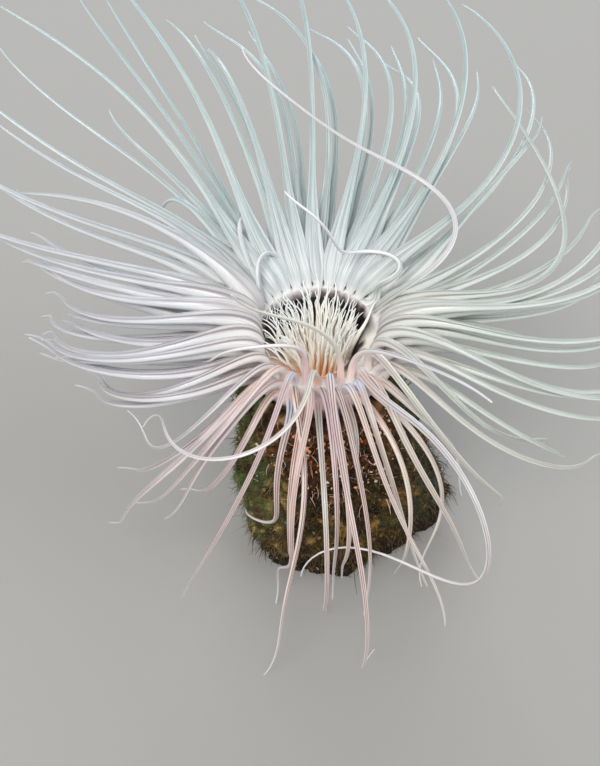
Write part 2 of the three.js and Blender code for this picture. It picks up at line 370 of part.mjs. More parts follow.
// ---------- mouth, oral disc, column ----------
const SLIT = [1.1, 2.6, 2.4];    // half width, half length and depth of the mouth's slit
const lips = toSolid(turned([[0, -23.8], [4.3, -23.8], [4.3, funnel(4.3)], [3.4, funnel(3.4) + 0.4], [2.1, -19.9], [0, -20.6]], 12));
const slit = new THREE.SphereGeometry(1, 8, 5);
slit.scale(SLIT[0], SLIT[1], SLIT[2]);
{
  const p = slit.attributes.position;
  for (let i = 0; i < p.count; i++) {
    const q = fromCrown(p.getX(i), p.getY(i), p.getZ(i) - 19.9);
    p.setXYZ(i, q.x, q.y, q.z);
  }
}
add('mouth', lips.subtract(toSolid(slit)), 'mouth');
add('oral_disc', toSolid(turned([[13.5, -17.4], [DISC_R, -10.8], [DISC_R, funnel(DISC_R)], [18.5, funnel(18.5)], [13.5, funnel(13.5)], [13.5, -17.4]], 20)), 'disc');
add('column', toSolid(turned([
  [0, -COLUMN_FOOT], [22.6, -COLUMN_FOOT], [23.8, -COLUMN_FOOT + 2], [24.0, -26], [25.6, -20.5], [28.6, -15.5], [30.8, -10.9],
  [24.2, -10.9], [23.9, -11.5], [13.3, -18.2], [4.45, -24.6], [0, -24.6],
], 16)), 'column');

// ---------- the tube ----------
// outline of the tube: share of the height, radius
const TUBE_OUTLINE = [[0, 40], [0.12, 42.5], [0.3, 42], [0.46, 40.5], [0.62, 38.5], [0.78, 36.5], [0.9, 34.5], [0.97, 32.5], [1, 30]];
const TUBE_BULGE = [16, 0.2];    // the foot swells out to the right: depth, direction (radians)
function tubeRadius(t, a) {
  let r = TUBE_OUTLINE[TUBE_OUTLINE.length - 1][1];
  for (let i = 1; i < TUBE_OUTLINE.length; i++) if (t <= TUBE_OUTLINE[i][0]) {
    const [p, q] = TUBE_OUTLINE[i - 1], [v, w] = TUBE_OUTLINE[i];
    r = q + (w - q) * (t - p) / (v - p);
    break;
  }
  const fade = 0.45 + 0.55 * (1 - t);
  return r * (1 + fade * (0.05 * Math.sin(3 * a + 4 * t + 0.6) + 0.035 * Math.sin(5 * a - 9 * t + 1.9) + 0.02 * Math.sin(8 * a + 7 * t)))
    + TUBE_BULGE[0] * (1 - t) * Math.pow(Math.max(0, Math.cos(a - TUBE_BULGE[1])), 3);
}
const topCentre = fromCrown(0, 0, -TUBE_TOP);
function tubePoint(t, a, r) {
  const s = t * t, lean = LEAN * D2R * s;
  const x = r * Math.cos(a), y = r * Math.sin(a);
  const cx = FOOT[0] + (topCentre.x - FOOT[0]) * t, cy = FOOT[1] + (topCentre.y - FOOT[1]) * t, cz = topCentre.z * t;
  return [cx + x, cy + y * Math.cos(lean), cz + y * Math.sin(lean)];
}
// rings of [share of height, radius function], closed by a fan at each end
const TUBE_SIDES = 24;
function loft(rings, first, last) {
  const pos = [], idx = [], n = TUBE_SIDES;
  for (const ring of rings) for (let j = 0; j < n; j++) pos.push(...ring(2 * Math.PI * j / n));
  for (let k = 0; k < rings.length - 1; k++) for (let j = 0; j < n; j++) {
    const a = k * n + j, b = k * n + (j + 1) % n, c = a + n, d = b + n;
    idx.push(a, b, d, a, d, c);
  }
  const lo = pos.length / 3; pos.push(...first);
  const hi = lo + 1; pos.push(...last);
  const o = (rings.length - 1) * n;
  for (let j = 0; j < n; j++) { idx.push(lo, (j + 1) % n, j); idx.push(hi, o + j, o + (j + 1) % n); }
  const g = new THREE.BufferGeometry();
  g.setAttribute('position', new THREE.Float32BufferAttribute(pos, 3));
  g.setIndex(idx);
  return g;
}
const outer = (t) => (a) => tubePoint(t, a, tubeRadius(t, a));
const raised = (t, dz) => (a) => { const q = tubePoint(t, a, tubeRadius(t, a)); return [q[0], q[1], q[2] + dz]; };
const cutMid = tubePoint(TUBE_CUT, 0, 0);
add('tube_lower', toSolid(loft([outer(0), outer(0.12), outer(0.28), outer(TUBE_CUT)], tubePoint(0, 0, 0), cutMid)), 'tube');
const bore = (r, z) => (a) => { const q = fromCrown(r * Math.cos(a), r * Math.sin(a), z); return [q.x, q.y, q.z]; };
const boreFoot = fromCrown(0, 0, -COLUMN_FOOT - GAP);
add('tube_upper', toSolid(loft([
  raised(TUBE_CUT, GAP), outer(0.6), outer(0.75), outer(0.9), outer(0.97),
  bore(29.2, -TUBE_TOP + 0.9), bore(26.6, -TUBE_TOP + 0.2), bore(SOCKET_R, -TUBE_TOP - 3), bore(SOCKET_R, -COLUMN_FOOT - GAP),
], [cutMid[0], cutMid[1], cutMid[2] + GAP], [boreFoot.x, boreFoot.y, boreFoot.z])), 'tube');

export default root;
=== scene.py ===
"""The looks of a life-size tube anemone (a tube-dwelling anemone, Ceriantharia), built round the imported
solids. One continuous skin is grown from the same bend laws as the solids: throat, lips, labial tuft,
dark oral disc, margin with its long tentacles, and column. The felted tube has a lumpy sleeve with
sand grains, felt fibres and small turf on it. Sizes are in millimetres until a mesh is made."""
import math
import bpy
import numpy as np
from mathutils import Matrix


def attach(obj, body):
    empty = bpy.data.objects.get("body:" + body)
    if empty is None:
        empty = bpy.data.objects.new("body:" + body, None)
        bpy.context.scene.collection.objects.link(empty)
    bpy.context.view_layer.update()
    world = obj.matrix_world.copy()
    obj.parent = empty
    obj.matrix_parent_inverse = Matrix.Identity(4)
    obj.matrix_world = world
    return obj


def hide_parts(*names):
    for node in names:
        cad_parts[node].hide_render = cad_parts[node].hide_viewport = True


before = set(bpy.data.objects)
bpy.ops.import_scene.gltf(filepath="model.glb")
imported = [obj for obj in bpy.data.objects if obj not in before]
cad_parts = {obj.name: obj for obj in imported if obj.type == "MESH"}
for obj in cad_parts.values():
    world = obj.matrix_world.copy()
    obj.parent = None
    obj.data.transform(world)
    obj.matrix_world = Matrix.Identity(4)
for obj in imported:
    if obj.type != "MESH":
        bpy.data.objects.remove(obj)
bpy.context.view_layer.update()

# ---------------------------------------------------------------- sizes shared with the solids (mm, degrees)
CROWN = np.array([-7.0, -5.0, 120.0])
LEAN = math.radians(11)
FOOT = (0.0, 0.0)
TUBE_TOP = 24.0
SOCKET_R = 24.6
COLUMN_FOOT = 46.0
RIM = [(24.4, 0.55), (27.9, -0.6), (30.9, -2.6), (33.2, -6.0)]
ROWS = [(26.15, -0.03, -1.0), (29.4, -1.6, 1.0), (32.05, -4.3, -1.0)]
FUNNEL = [(0, -20.5), (4, -19.4), (5.6, -18.4), (8, -16.6), (14, -11.2), (20, -4.9), (24.4, -0.6)]
LABIAL_IN, LABIAL_OUT = 4.6, 13.2
LABIAL_RINGS = 5
LABIAL_STAND = {"back": (72, 28), "front": (89, 26), "left": (66, 27), "right": (80, 26)}
RING_FALL, RING_SHORTER, LEFT_SWEEP = 4.0, 3.5, 15.0
TAPER, SLENDER_TAPER = 1.7, 0.8
SLENDER = [(29, 0), (26, 0), (30, 0), (15, 0), (14, 0), (4, 0), (3, 0), (31, 0), (27, 0), (23, 0)]
SWELL, SWELL_FADE = 0.55, 9.0
FRONT_SLIM, FRONT_TAPER, UNLIKE = 0.17, 0.6, (0.05, 0.09)
VEIL = 1.6  # how much stouter the roots at the back and sides look, where they stand close like a veil
SECTORS, STEPS = 36, 56
LABIAL_COLUMNS, LABIAL_STEPS = 30, 18
RISE_FADE = 0.07
# bend laws of the marginal tentacles, sector by sector, inner row first:
# [length, root lift, pitch: mean, drop, sag, curl, heading: mean, swing, sway, twist]
MARGINAL = np.array([
  [174.9, 67.4, -1.2, -13.7, -4.5, -12.7, 23.8, 37.3, -10.1, -19.1], [169.1, 48.9, -5.7, -16.8, 2, -5.4, 28, 39.9, -8.4, -20.6], [106.9, -25.5, -17.1, -41.4, 34.8, -2.3, 34.2, 46.8, -7, -26.2],
  [181.9, 79.1, 1, 0.8, -23.9, -12.1, 25.2, 36.4, -13.3, -21.2], [184, 61.2, -5, -4.7, -15.7, 1.7, 25.5, 39.7, -7.4, -20], [148.1, 15.4, -9.4, -16.3, 1.2, 3.2, 24.1, 39.4, -6.2, -21],
  [212.3, 11.6, 9.2, -6, -19.2, -39.7, 44.3, 61.8, -39.3, -46.1], [163, 14.1, 2, -14, -8, -0.7, 26.3, 37.9, -5.8, -19.2], [150, 12.4, -0.4, -14.5, -5.7, 4.6, 19.5, 34.5, -4.1, -16.9],
  [181.1, -61.8, 36, -13.6, 26.4, -33.9, 84.8, 111.8, -94.7, -33.8], [194, 29.1, 3.2, -11.5, -17.4, 8.3, 28.6, 41.9, -3.3, -19.1], [150.4, 12.9, 5.1, -12.7, -12.3, 9.6, 16.5, 31.3, -1.3, -11.9],
  [116.1, 87.1, 29.9, -9.3, -3, -70.6, 95.3, 121.5, -207.2, 15.3], [205.3, 25.7, 7.8, -9.6, -18.4, 10.4, 22.8, 34.2, 9.1, -13.9], [152.8, 5, 11.7, -21.7, -9.8, 18.4, 12.4, 23.4, 4.1, -2.1],
  [185.4, 28.9, 22.6, -12.6, -18.8, -2.6, 16.8, 57.7, 5.9, -28.3], [170.7, 9.4, 18.5, -24.2, -2.2, 11, 23.8, 38.4, 4.7, -12.7], [150.5, 9.7, 18.2, -25, -4.7, 14.4, 14.1, 20.9, 6.7, -5.4],
  [167.6, 23.6, 32.6, -17.2, -26.4, 2.4, 10.5, 49.1, 8.9, -22.2], [167.2, 7.5, 15.5, -31.4, 0.6, 18.9, 20.3, 33, 4, -13.9], [150, 14.9, 18.4, -21.1, -8.1, 12.7, 11.4, 23.5, 4.2, -9.1],
  [169.8, 30.3, 28.9, -20.2, -25.7, 7, 12.4, 39.9, 3.8, -20.5], [164, 14.7, 20.2, -25, -10.5, 13.1, 14.4, 29.4, 4, -13.9], [149.6, 14.8, 20.2, -19.3, -11.2, 10.8, 8.3, 22.8, 3, -10.4],
  [168.9, 16.6, 29.6, -22.4, -17.3, 1.9, 9.9, 24.6, 6.1, -12], [166.5, 22.7, 18.3, -24.8, -15.1, 14.8, 10.2, 28.6, 4.1, -14.3], [150, 14.8, 20.7, -17.8, -13.2, 9.7, 5.5, 21.1, 2.5, -10.7],
  [178.8, 18.6, 31.4, -17.6, -20.2, -2.1, 9.3, 10.6, 10.4, -4.5], [171.8, 32.1, 24.3, -18.2, -26.9, 14.4, 11.6, 28.3, 0.5, -16.4], [150.1, 15.1, 21.9, -14.3, -15, 8.3, 4, 18.7, 1.3, -10.5],
  [180.1, 20.4, 28.5, -19.6, -19.2, 0, 7.9, 4, 1.5, -8.6], [174.3, 7.8, 19, -25.8, -6.5, 12.5, 6.9, 16.3, -0.5, -10.1], [150.3, 14.3, 21.5, -10.9, -11.5, 6.2, 2.3, 13.8, 0.5, -8.5],
  [170.6, 14.8, 17.1, -43.4, -9.3, 18.2, -0.4, -10.6, -5.8, -2.1], [177, 20.9, 17.9, -19.1, -15.7, 7.8, 2.4, 2.6, -3.7, 0.8], [149.9, 14.7, 21.7, -1, -8.6, 0.6, 1.7, 9.6, -0.2, -6.8],
  [172.7, 10.4, 33.8, -10.8, -8.5, 1.7, 6.5, -0.1, 3, -12.3], [175.7, 11.6, 26.1, 7.1, -1.6, -0.2, 7.1, 5.3, 1.4, -7.4], [180.8, 18.2, 23.6, 19, -3.6, -6.6, 3.9, 10, 1, -9.7],
  [173.1, 22.3, 29.5, -1.9, -7.5, -0.9, 15, 16.5, 6.4, -12.9], [93.2, 17.5, -3.6, -53, -34.7, -0.6, 2.6, -3.4, 4.1, 4], [158.2, 12.3, 7.6, -14.9, 2.9, 5.7, -5.2, -8.7, -6.6, -0.3],
  [79.4, 21.5, -10.5, -80.4, -10.2, 27.1, -43.3, -46.8, 19.7, 10.6], [187.9, 8.5, 17.9, 2.7, 7, -18.9, 5, 7.2, -12.6, -10.8], [188.8, 14.5, 18.2, 13.5, 7.3, -8.8, -1.6, 18.7, -6, -17.3],
  [50.1, 8.4, -0.9, -103, 2.3, 46, -71.7, -58.3, 41.1, 14.4], [178.8, 17.9, 11.2, -6.3, 8.2, -13.3, 1.6, -7.9, -11.1, -4.3], [162.9, 1.7, 14.4, -13.1, 15.2, -13.5, -6.3, 2.4, -9.3, -4.9],
  [175, 41.7, -0, -36.7, 9.6, 4.3, -16.2, -25.2, -11.4, -5.2], [179.2, 47, -0.6, -13.4, -0.8, -1.7, -7.6, -23.1, -9.1, 2.9], [158.7, 13.8, 7.6, -17.6, 3.6, -13.5, -11.2, -14, -13, 2.1],
  [186.5, 93.8, -8.3, -11.4, -5.9, 3.2, -21.2, -34.7, -0.7, 5.4], [166.4, 83.4, -13.3, -22.3, -9.1, 18.3, -26.1, -43.5, 1.8, 15.3], [137.9, 15.5, -1.2, -24.9, 1.9, -2.6, -24.2, -27.7, -2.2, 9.5],
  [153.2, 88.7, -7.6, -18, -0.5, -6.5, -29.1, -43.8, 7.9, 14.2], [143.6, 93.9, -21, -19.7, -0.1, 15, -36, -52.9, 14.6, 24.2], [157.1, 37.7, -9.9, -25.9, -4, 5.1, -36.3, -36.8, 5.9, 14.7],
  [150.1, 93.1, -13.2, -22.6, 4.6, -5, -37.6, -49.4, 14.8, 21.2], [143.9, 132.2, -22.3, -10.3, -11.3, 27.9, -43.9, -55.2, 24.6, 22.7], [158.2, 35.1, -18.2, -21.7, 2.9, 2.5, -46, -44.5, 15.9, 22.6],
  [163.3, 142.2, -23.2, -10.4, -10.2, 4.8, -47.3, -54.5, 16.6, 28.9], [143.5, 87.3, -19.6, -17.2, 9.1, 20, -43.5, -55.4, 24.8, 21.4], [136.7, 15, -15.3, -23.9, 7.2, 4.7, -48.2, -45.2, 21.2, 22.2],
  [155.6, 98.7, -15.5, -15.7, 6, 8.9, -50.2, -54.6, 21.1, 26.7], [143.4, 97.2, -15, -7.1, -0.1, 26.4, -52.5, -56.3, 27.1, 21.4], [127.2, 16.2, -15.5, -26.4, 5.6, 8.2, -55.2, -46.2, 24.9, 22.8],
  [125.3, 79.5, -17.7, -8.9, 16.7, 2, -58.3, -62.8, 22.6, 31.4], [125.4, 56.5, -15.2, -14.1, 10.5, 13.6, -61.3, -66.4, 30.6, 28.7], [119.2, 23.7, -18.6, -16.2, 14.6, 7.2, -62.1, -55.6, 27.4, 25.2],
  [121.5, 16.3, -22.5, -10.9, 50.8, -17.6, -63.7, -75.4, 17.1, 30.2], [152.8, 43.6, -42.5, -21.7, 24.2, 2.5, -62.4, -72, 17.3, 25.3], [111.6, 14.9, -33.6, -16.6, 25.9, -4.4, -61.1, -63.6, 21.9, 29],
  [127.5, 23.2, -33.5, -38.4, 46.2, -8.6, -54.2, -70.2, 7.9, 22.6], [106.3, 11, -41, -44.4, 41.7, -5.1, -54.8, -62.6, 2.9, 17.2], [92.4, 13.6, -42.3, -11.9, 36.3, -16.1, -63.3, -74.7, 20.2, 36.1],
  [151, 47.3, -48.2, -40.6, 32.5, -11.7, -51.8, -77.2, -0.8, 19.9], [148.3, 83.7, -60.2, -32, 14.5, 14.2, -17.1, -63.5, -12.2, 16.9], [104.2, 17.5, -92.4, -80.5, 18.6, 13.3, 29.3, 23.4, -3.6, -32.3],
  [82.2, -3.9, 9.5, -80.7, 24.6, 25.9, -72.9, -85.8, 3.3, 19.1], [161.3, 89.9, -79.8, -52, 41.6, 36.7, 9.4, 6.4, -3.2, -28.5], [110.6, 17, -77.5, -63.4, 25.5, 21.3, 5.5, 1.7, -5.3, -12.3],
  [155.7, 8.2, -9.3, -43.7, 13.9, -27.9, -86.9, -93.6, 21.8, 61.3], [122.8, 67.4, -64.7, -58.3, 26.6, 16.5, 3.1, -8.7, -6.7, -6.9], [153.9, 20.3, -76.3, -72.1, 20.2, 25.7, 1.6, -6, -6, -1.3],
  [173, 84.3, -60, -78.2, -18.9, -4.8, -4.2, -7, -22.1, -9.9], [120.9, 53.3, -57.7, -57.6, 17.1, 0, 8.2, 6.6, -7.2, -6.7], [112, 13.3, -69.5, -69.8, 21.9, 25.3, -3.4, -5.2, -5.7, -1],
  [96.4, -2.2, 52.6, -18.8, 20.2, 4, -55.4, -10.7, 20.5, -3.5], [118.2, 42.4, -45.7, -36.8, 17.9, -18.3, 17.1, 23.5, -10.8, -12.9], [52.5, 11, -76.3, -83.7, 29.3, 43.8, -16.1, -12.2, -2.1, 6.7],
  [107.3, 6.6, 34.8, -26.7, 14.1, -10.9, -4.9, 3.5, -3.8, 1.1], [109.8, 73, -59.3, -26.3, 23, -4.8, 20.4, 40.8, -12, -10.6], [131.8, 14.9, -80.5, -61.1, 20.9, 15.2, -15.8, -21.8, 9.4, 10.7],
  [216.6, 70.8, -80, -103.4, 9.8, 80, 3.3, 36.6, 20.1, 16.3], [133.4, 74.3, -55.5, -20.9, 15.3, 3.1, 35.8, 62.8, -9.8, -21.5], [121.2, 8, -69.4, -44.5, 31.2, 12.4, 15.8, 7, -6.2, 6.9],
  [138.6, 58.9, -37.3, -39.2, 32.6, -19.8, 38.3, 85.7, 3.4, -5.1], [163.9, 97.1, -28.9, -8.6, 5.1, -1.8, 46.7, 66.5, -9.5, -26.6], [79, 29.4, -51.9, -40.3, 9.7, 9.5, 38.9, 49.2, -18.3, -21],
  [132.9, 9, -23.1, -44.6, 39.3, -41.7, 30.8, 69.3, -0.1, -8.8], [176.7, 95.5, -22.6, -14.9, -2.1, -2.6, 39, 52.6, -6.4, -24.5], [145.9, 11.4, -30.1, -30.2, 22.7, -5.6, 47.7, 65.2, -9.1, -33.1],
  [180.9, 76.2, -16.3, -19.9, 9.2, -17.1, 27.1, 47.2, -4.9, -20.3], [175.7, 69.7, -14.8, -9.5, 2.8, -19, 32.2, 44.5, -5.5, -24.9], [162.5, 33.9, -14.8, -20.4, 3.4, -5.4, 32.5, 46.7, -9.4, -25.7],
  [176.1, 76.4, -8.2, -15.5, 1.2, -14.6, 24.7, 40, -7.5, -18.9], [176.3, 74.2, -10.7, -7.1, -3.9, -9.7, 29.8, 42, -9, -23.1], [148.6, 15.6, -14.8, -23.6, 11.8, -3.9, 29.9, 44, -8.5, -24.6],
], float)
rng = np.random.default_rng(20240)
cosL, sinL = math.cos(LEAN), math.sin(LEAN)


def crown(p):
    """From the crown's own frame to the model's."""
    p = np.asarray(p, float)
    x, y, z = p[..., 0], p[..., 1], p[..., 2]
    return np.stack([x, y * cosL - z * sinL, y * sinL + z * cosL], -1) + CROWN


def crown_dir(p):
    return crown(p) - CROWN


def uncrown(p):
    q = np.asarray(p, float) - CROWN
    return np.stack([q[..., 0], q[..., 1] * cosL + q[..., 2] * sinL, -q[..., 1] * sinL + q[..., 2] * cosL], -1)


def norm(v):
    return v / np.maximum(np.linalg.norm(v, axis=-1, keepdims=True), 1e-12)


def smooth(a, b, x):
    t = np.clip((x - a) / (b - a), 0, 1)
    return t * t * (3 - 2 * t)


def uneven(i, j):
    """A repeatable unevenness from -1 to 1."""
    s = np.sin(np.asarray(i, float) * 127.1 + j * 311.7) * 43758.5453
    return 2 * (s - np.floor(s)) - 1


# ---------------------------------------------------------------- noise
def _hash(ix, iy, iz, seed):
    with np.errstate(over="ignore"):
        n = ix.astype(np.uint32) * np.uint32(374761393) + iy.astype(np.uint32) * np.uint32(668265263)
        n = n + iz.astype(np.uint32) * np.uint32(2246822519) + np.uint32(seed * 3266489917 % 4294967296)
        n = (n ^ (n >> np.uint32(13))) * np.uint32(1274126177)
        n = n ^ (n >> np.uint32(16))
    return n.astype(np.float64) / 4294967295.0


def noise(p, seed=0):
    """Smooth value noise of points, from -1 to 1."""
    p = np.asarray(p, float) + 1000.0
    i = np.floor(p).astype(np.int64)
    f = p - i
    f = f * f * f * (f * (f * 6 - 15) + 10)
    out = 0
    for dx in (0, 1):
        for dy in (0, 1):
            for dz in (0, 1):
                w = (f[..., 0] if dx else 1 - f[..., 0]) * (f[..., 1] if dy else 1 - f[..., 1]) * (f[..., 2] if dz else 1 - f[..., 2])
                out = out + w * _hash(i[..., 0] + dx, i[..., 1] + dy, i[..., 2] + dz, seed)
    return out * 2 - 1


def fbm(p, octaves=4, seed=0, gain=0.5):
    p = np.asarray(p, float)
    total, amp, out = 0, 1.0, 0
    for k in range(octaves):
        out = out + amp * noise(p * 2.03 ** k + 17.3 * k, seed + k)
        total += amp
        amp *= gain
    return out / total


# ---------------------------------------------------------------- centre lines
def legendre(u):
    x = 2 * u - 1
    return np.stack([np.ones_like(x), x, (3 * x * x - 1) / 2, (5 * x ** 3 - 3 * x) / 2], -1)


def centre_lines(feet, azimuth, length, lift, pitch, heading, steps):
    """Points of every tentacle's centre line, root first."""
    u = (np.arange(steps) + 0.5) / steps
    basis = legendre(u)
    th = np.radians(lift[:, None] * np.exp(-u / RISE_FADE)[None] + pitch @ basis[:, : pitch.shape[1]].T)
    ps = np.radians(azimuth[:, None] + heading @ basis[:, : heading.shape[1]].T)
    d = np.stack([np.cos(th) * np.cos(ps), np.cos(th) * np.sin(ps), np.sin(th)], -1) * (length / steps)[:, None, None]
    return np.concatenate([feet[:, None], feet[:, None] + np.cumsum(d, 1)], 1)


def at(pts, index):
    """Points on the smooth curves through pts at fractional indices (n, k)."""
    n, s = pts.shape[:2]
    i = np.clip(np.floor(index).astype(int), 0, s - 2)
    f = (index - i)[..., None]
    row = np.arange(n)[:, None]
    p1, p2 = pts[row, i], pts[row, i + 1]
    p0 = np.where((i > 0)[..., None], pts[row, np.maximum(i - 1, 0)], 2 * p1 - p2)
    p3 = np.where((i < s - 2)[..., None], pts[row, np.minimum(i + 2, s - 1)], 2 * p2 - p1)
    return 0.5 * (2 * p1 + (p2 - p0) * f + (2 * p0 - 5 * p1 + 4 * p2 - p3) * f ** 2 + (3 * p1 - p0 - 3 * p2 + p3) * f ** 3)


def stations(pts, count, start):
    """Fractional indices of `count` stations, closer where a tentacle bends; the first lies `start` mm along."""
    d = np.diff(pts, axis=1)
    step = np.linalg.norm(d, axis=-1)
    t = norm(d)
    turn = np.degrees(np.arccos(np.clip((t[:, 1:] * t[:, :-1]).sum(-1), -1, 1)))
    turn = np.concatenate([turn[:, :1], turn], 1)
    w = 1.0 / step.shape[1] + turn / 260.0
    w[:, : max(2, step.shape[1] // 12)] *= 1.5
    m = np.concatenate([np.zeros((len(pts), 1)), np.cumsum(w, 1)], 1)
    first = start / step[:, 0]
    out = np.empty((len(pts), count))
    for k in range(len(pts)):
        lo = np.interp(first[k], np.arange(m.shape[1]), m[k])
        out[k] = np.interp(np.linspace(lo, m[k, -1], count), m[k], np.arange(m.shape[1]))
    return out


# ---------------------------------------------------------------- the skin, as one growing mesh
class Skin:
    def __init__(self):
        self.co, self.faces, self.uv, self.att = [], [], [], {k: [] for k in ("u", "cg", "sg", "kind", "seed", "rho", "up", "azim", "mm")}
        self.n = 0

    def add(self, pts, **att):
        """Adds points and their attributes, and returns their numbers in the same shape."""
        pts = np.asarray(pts, float)
        flat = pts.reshape(-1, 3)
        ids = np.arange(self.n, self.n + len(flat)).reshape(pts.shape[:-1])
        self.n += len(flat)
        self.co.append(flat)
        for k, values in self.att.items():
            v = att.get(k, 0.0)
            values.append(np.broadcast_to(np.asarray(v, float), pts.shape[:-1]).reshape(-1))
        return ids

    def quads(self, q, uv):
        self.faces.append(np.asarray(q).reshape(-1, 4))
        self.uv.append(np.asarray(uv, float).reshape(-1, 4, 2))

    def tris(self, t, uv):
        t = np.asarray(t).reshape(-1, 3)
        uv = np.asarray(uv, float).reshape(-1, 3, 2)
        self.faces.append(np.concatenate([t, np.full((len(t), 1), -1)], 1))
        self.uv.append(np.concatenate([uv, np.zeros((len(t), 1, 2))], 1))


skin = Skin()
ARC = [0.0]  # arc length along the body's profile, for the map


def funnel(r):
    return np.interp(r, [a for a, _ in FUNNEL], [b for _, b in FUNNEL])


def body_uv(rho_arc, phi):
    """Unwrap of the body: a disc about the mouth, radius by arc length."""
    r = 0.176 * (np.asarray(rho_arc) / 118.0)
    return np.stack([0.18 + r * np.cos(phi), 0.18 + r * np.sin(phi)], -1)


def body_ring(count, start_deg, rho, z, arc, squash=(1, 1), dip=0.0):
    phi = np.radians(start_deg + 360.0 * np.arange(count) / count)
    rho = np.broadcast_to(rho, phi.shape)
    p = np.stack([rho * np.cos(phi) * squash[0], rho * np.sin(phi) * squash[1], np.broadcast_to(z, phi.shape) - dip], -1)
    ids = skin.add(crown(p), kind=0.0, rho=rho, azim=np.degrees(phi), mm=arc)
    return {"id": ids, "phi": phi, "uv": body_uv(arc, phi), "arc": arc, "n": count}


def join_rings(a, b):
    """Faces between an inner ring a and an outer ring b."""
    if a["n"] == b["n"]:
        n = a["n"]
        i, j = np.arange(n), (np.arange(n) + 1) % n
        skin.quads(np.stack([a["id"][i], b["id"][i], b["id"][j], a["id"][j]], -1), np.stack([a["uv"][i], b["uv"][i], b["uv"][j], a["uv"][j]], 1))
        return
    i = j = 0
    na, nb = a["n"], b["n"]
    pa = np.append(a["phi"], a["phi"][0] + 2 * math.pi)
    pb = np.append(b["phi"], b["phi"][0] + 2 * math.pi)
    tri, uv = [], []
    while i < na or j < nb:
        step_b = j < nb and (i >= na or pb[j + 1] <= pa[i + 1])
        A, B = i % na, j % nb
        if step_b:
            C = (j + 1) % nb
            tri.append((a["id"][A], b["id"][B], b["id"][C]))
            uv.append((a["uv"][A], b["uv"][B], b["uv"][C]))
            j += 1
        else:
            C = (i + 1) % na
            tri.append((a["id"][A], b["id"][B], a["id"][C]))
            uv.append((a["uv"][A], b["uv"][B], a["uv"][C]))
            i += 1
    skin.tris(tri, uv)


def close_ring(ring, point, arc, outside):
    c = skin.add(crown(np.array(point)), kind=0.0, rho=0.0, mm=arc)
    n = ring["n"]
    i, j = np.arange(n), (np.arange(n) + 1) % n
    cu = np.broadcast_to(body_uv(arc, 0.0), (n, 2))
    cc = np.full(n, int(c))
    if outside:
        skin.tris(np.stack([ring["id"][i], cc, ring["id"][j]], -1), np.stack([ring["uv"][i], cu, ring["uv"][j]], 1))
    else:
        skin.tris(np.stack([cc, ring["id"][i], ring["id"][j]], -1), np.stack([cu, ring["uv"][i], ring["uv"][j]], 1))


